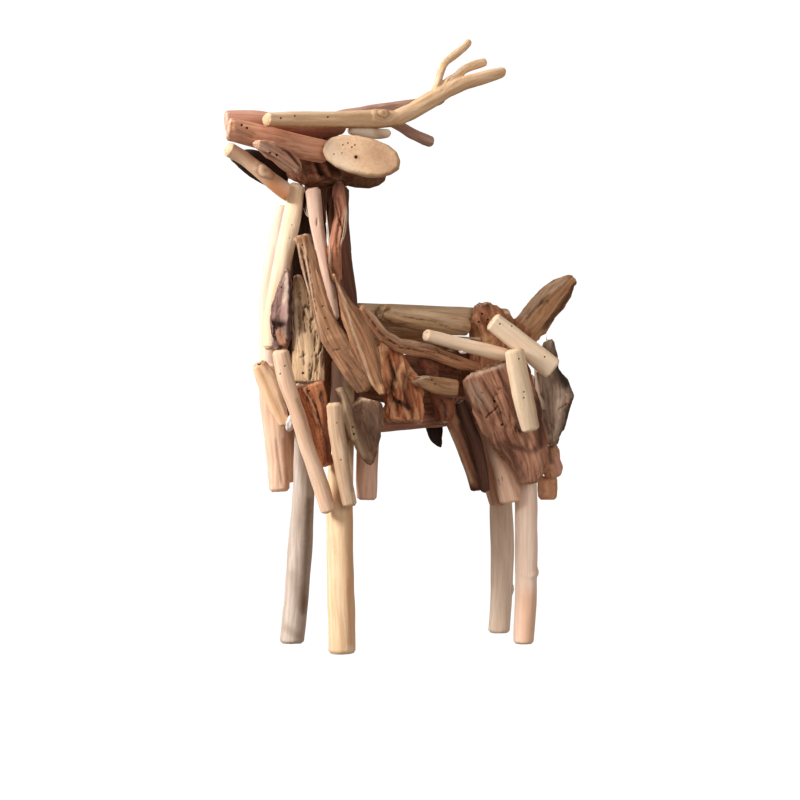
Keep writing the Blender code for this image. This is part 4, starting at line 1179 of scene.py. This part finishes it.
def add_extras(node, done, seed):
    """Glue beads and slivers, as further points and faces of the same mesh."""
    normals, _ = normals_of(done["points"], done["faces"])
    spots = pixels(done["points"])
    points, faces, kinds = [], [], []
    total = len(done["points"])
    ball = bmesh.new()
    bmesh.ops.create_icosphere(ball, subdivisions=3, radius=1.0)
    sphere = np.array([v.co[:] for v in ball.verts])
    sides = [[v.index for v in face.verts] for face in ball.faces]
    ball.free()
    for spot, radius, tall in BEADS.get(node, []):
        i = nearest(done, spot, normals, spots)
        normal = normals[i]
        swell = 1 + 0.3 * noise(sphere * 1.4 + seed + radius)
        flat = sphere - 0.35 * np.outer(sphere @ normal, normal)
        flat[:, 2] *= tall
        points.append(done["points"][i] + normal * 0.25 * radius + flat * swell[:, None] * radius)
        faces += [[total + k for k in side] for side in sides]
        kinds += [GLUE] * len(sides)
        total += len(sphere)
    for start, end, width in SLIVERS.get(node, []):
        i = nearest(done, start, normals, spots)
        root = done["points"][i]
        away = (root - EYE) @ VIEW
        run = ((end[0] - start[0]) * RIGHT - (end[1] - start[1]) * ABOVE) * away / FOCAL
        side = unit(np.cross(run, VIEW))
        for k in range(SLIVER_RINGS):
            t = k / (SLIVER_RINGS - 1)
            half = width * (1 - 0.9 * t) * (0.5 + 0.12 * math.sin(5 * t + seed))
            middle = root + run * (t * 1.12 - 0.12) - VIEW * (0.25 + 0.5 * math.sin(2.2 * t))
            middle = middle + side * 0.3 * math.sin(4 * t + seed)
            for u, v in ((1, 0), (0.3, 0.7), (-1, 0.1), (-0.2, -0.8)):
                points.append((middle + side * u * half - VIEW * v * half)[None])
        for k in range(SLIVER_RINGS - 1):
            for j in range(4):
                a, b = total + 4 * k + j, total + 4 * k + (j + 1) % 4
                faces.append([a, b, b + 4, a + 4])
                kinds.append(0)
        faces.append([total + 3, total + 2, total + 1, total])
        faces.append([total + 4 * SLIVER_RINGS - 4 + j for j in range(4)])
        kinds += [0, 0]
        total += 4 * SLIVER_RINGS
    return points, faces, kinds


def build(node, seed):
    """Makes the mesh of one piece in place of its solid, and counts its triangles."""
    look, marks = PIECES[node]
    if look["voxel"] > 0:
        base = lumpy(node, LIMBS.get(node), look["voxel"], look["smoothing"], look["short"])
    else:
        base = tube(node, look["coarse"])
    done = carve(refine(base, marks), look, seed, marks)
    _, out = normals_of(done["points"], done["faces"])
    faces = done["faces"] if out else [f[::-1] for f in done["faces"]]
    more, more_faces, kinds = add_extras(node, done, seed)
    extra = sum(len(rows) for rows in more)
    mesh = as_mesh(node + "_wood", np.vstack([done["points"]] + more) * MM, faces + more_faces)
    write(mesh, "wood", "FLOAT_VECTOR", "vector", np.vstack([done["wood"], np.zeros((extra, 3))]))
    masks = np.vstack([done["masks"], np.tile(EXTRA_MASKS, (extra, 1))])
    write(mesh, "marks", "FLOAT_COLOR", "color", masks)
    write(mesh, "ends", "FLOAT", "value", np.concatenate([done["ends"], np.zeros(extra)]))
    mesh.shade_smooth()
    mesh.materials.append(driftwood(node + "_look", look, seed))
    if GLUE in kinds:
        mesh.materials.append(glue())
        which = np.concatenate([np.zeros(len(faces), np.int32), np.array(kinds, np.int32)])
        mesh.polygons.foreach_set("material_index", which)
    piece = bpy.data.objects.new(node + "_wood", mesh)
    bpy.context.scene.collection.objects.link(piece)
    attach(piece, "root")
    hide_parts(node)
    mesh.calc_loop_triangles()
    return len(mesh.loop_triangles)


print("triangles", sum(build(node, seed) for seed, node in enumerate(PIECES, 1)))


def add_light(name, place, size, power, colour=(1.0, 1.0, 1.0)):
    lamp = bpy.data.lights.new(name, "AREA")
    lamp.shape = "DISK"
    lamp.size = size
    lamp.energy = power
    lamp.color = colour
    item = bpy.data.objects.new(name, lamp)
    item.location = place
    item.rotation_euler = (Vector(AIM) - Vector(place)).to_track_quat("-Z", "Y").to_euler()
    bpy.context.scene.collection.objects.link(item)


def add_floor():
    """A pale floor that curves up into a wall all round."""
    profile = [(1.0, 0.0), (FLOOR_FLAT, 0.0)]
    for k in range(1, 13):
        angle = k / 12 * math.pi / 2
        profile.append((FLOOR_FLAT + FLOOR_BEND * math.sin(angle),
                        FLOOR_BEND * (1 - math.cos(angle))))
    profile.append((FLOOR_FLAT + FLOOR_BEND, FLOOR_TOP))
    points, faces = [(0.0, 0.0, 0.0)], []
    for ring, (radius, height) in enumerate(profile):
        for k in range(FLOOR_SPOKES):
            angle = 2 * math.pi * k / FLOOR_SPOKES
            points.append((radius * math.cos(angle), radius * math.sin(angle), height))
            a, b = (1 + ring * FLOOR_SPOKES + spoke % FLOOR_SPOKES for spoke in (k, k + 1))
            inner = (0,) if ring == 0 else (b - FLOOR_SPOKES, a - FLOOR_SPOKES)
            faces.append((a, b, *inner))
    mesh = bpy.data.meshes.new("floor")
    mesh.from_pydata(points, [], faces)
    mesh.shade_smooth()
    material = bpy.data.materials.new("floor_paper")
    n = Nodes(material)
    n.shader.inputs["Base Color"].default_value = (0.02, 0.02, 0.02, 1.0)
    n.shader.inputs["Roughness"].default_value = 1.0
    n.shader.inputs["Specular IOR Level"].default_value = 0.0
    n.shader.inputs["Emission Color"].default_value = (1.0, 1.0, 0.99, 1.0)
    n.shader.inputs["Emission Strength"].default_value = FLOOR_GLOW
    mesh.materials.append(material)
    floor = bpy.data.objects.new("floor", mesh)
    floor.visible_diffuse = False
    floor.visible_glossy = False
    floor.visible_shadow = False
    bpy.context.scene.collection.objects.link(floor)


def stage():
    """Pale floor, soft light from the camera's left, and the camera."""
    add_floor()
    world = bpy.data.worlds.new("studio")
    world.use_nodes = True
    sky = world.node_tree.nodes["Background"]
    sky.inputs["Color"].default_value = AMBIENT
    sky.inputs["Strength"].default_value = AMBIENT_STRENGTH
    bpy.context.scene.world = world
    add_light("key", (-1.0, -0.05, 0.6), size=0.4, power=17.0, colour=(1.0, 0.99, 0.97))
    add_light("fill", (-0.1, -1.3, 0.45), size=0.8, power=4.0)

    lens = bpy.data.cameras.new("camera")
    lens.sensor_width = SENSOR
    lens.lens = SENSOR * FOCAL / PICTURE
    camera = bpy.data.objects.new("camera", lens)
    turn = Matrix([RIGHT, ABOVE, -VIEW]).transposed()
    camera.matrix_world = Matrix.Translation(Vector(EYE * MM)) @ turn.to_4x4()
    bpy.context.scene.collection.objects.link(camera)
    bpy.context.scene.camera = camera
    bpy.context.scene.view_settings.view_transform = "Standard"


stage()
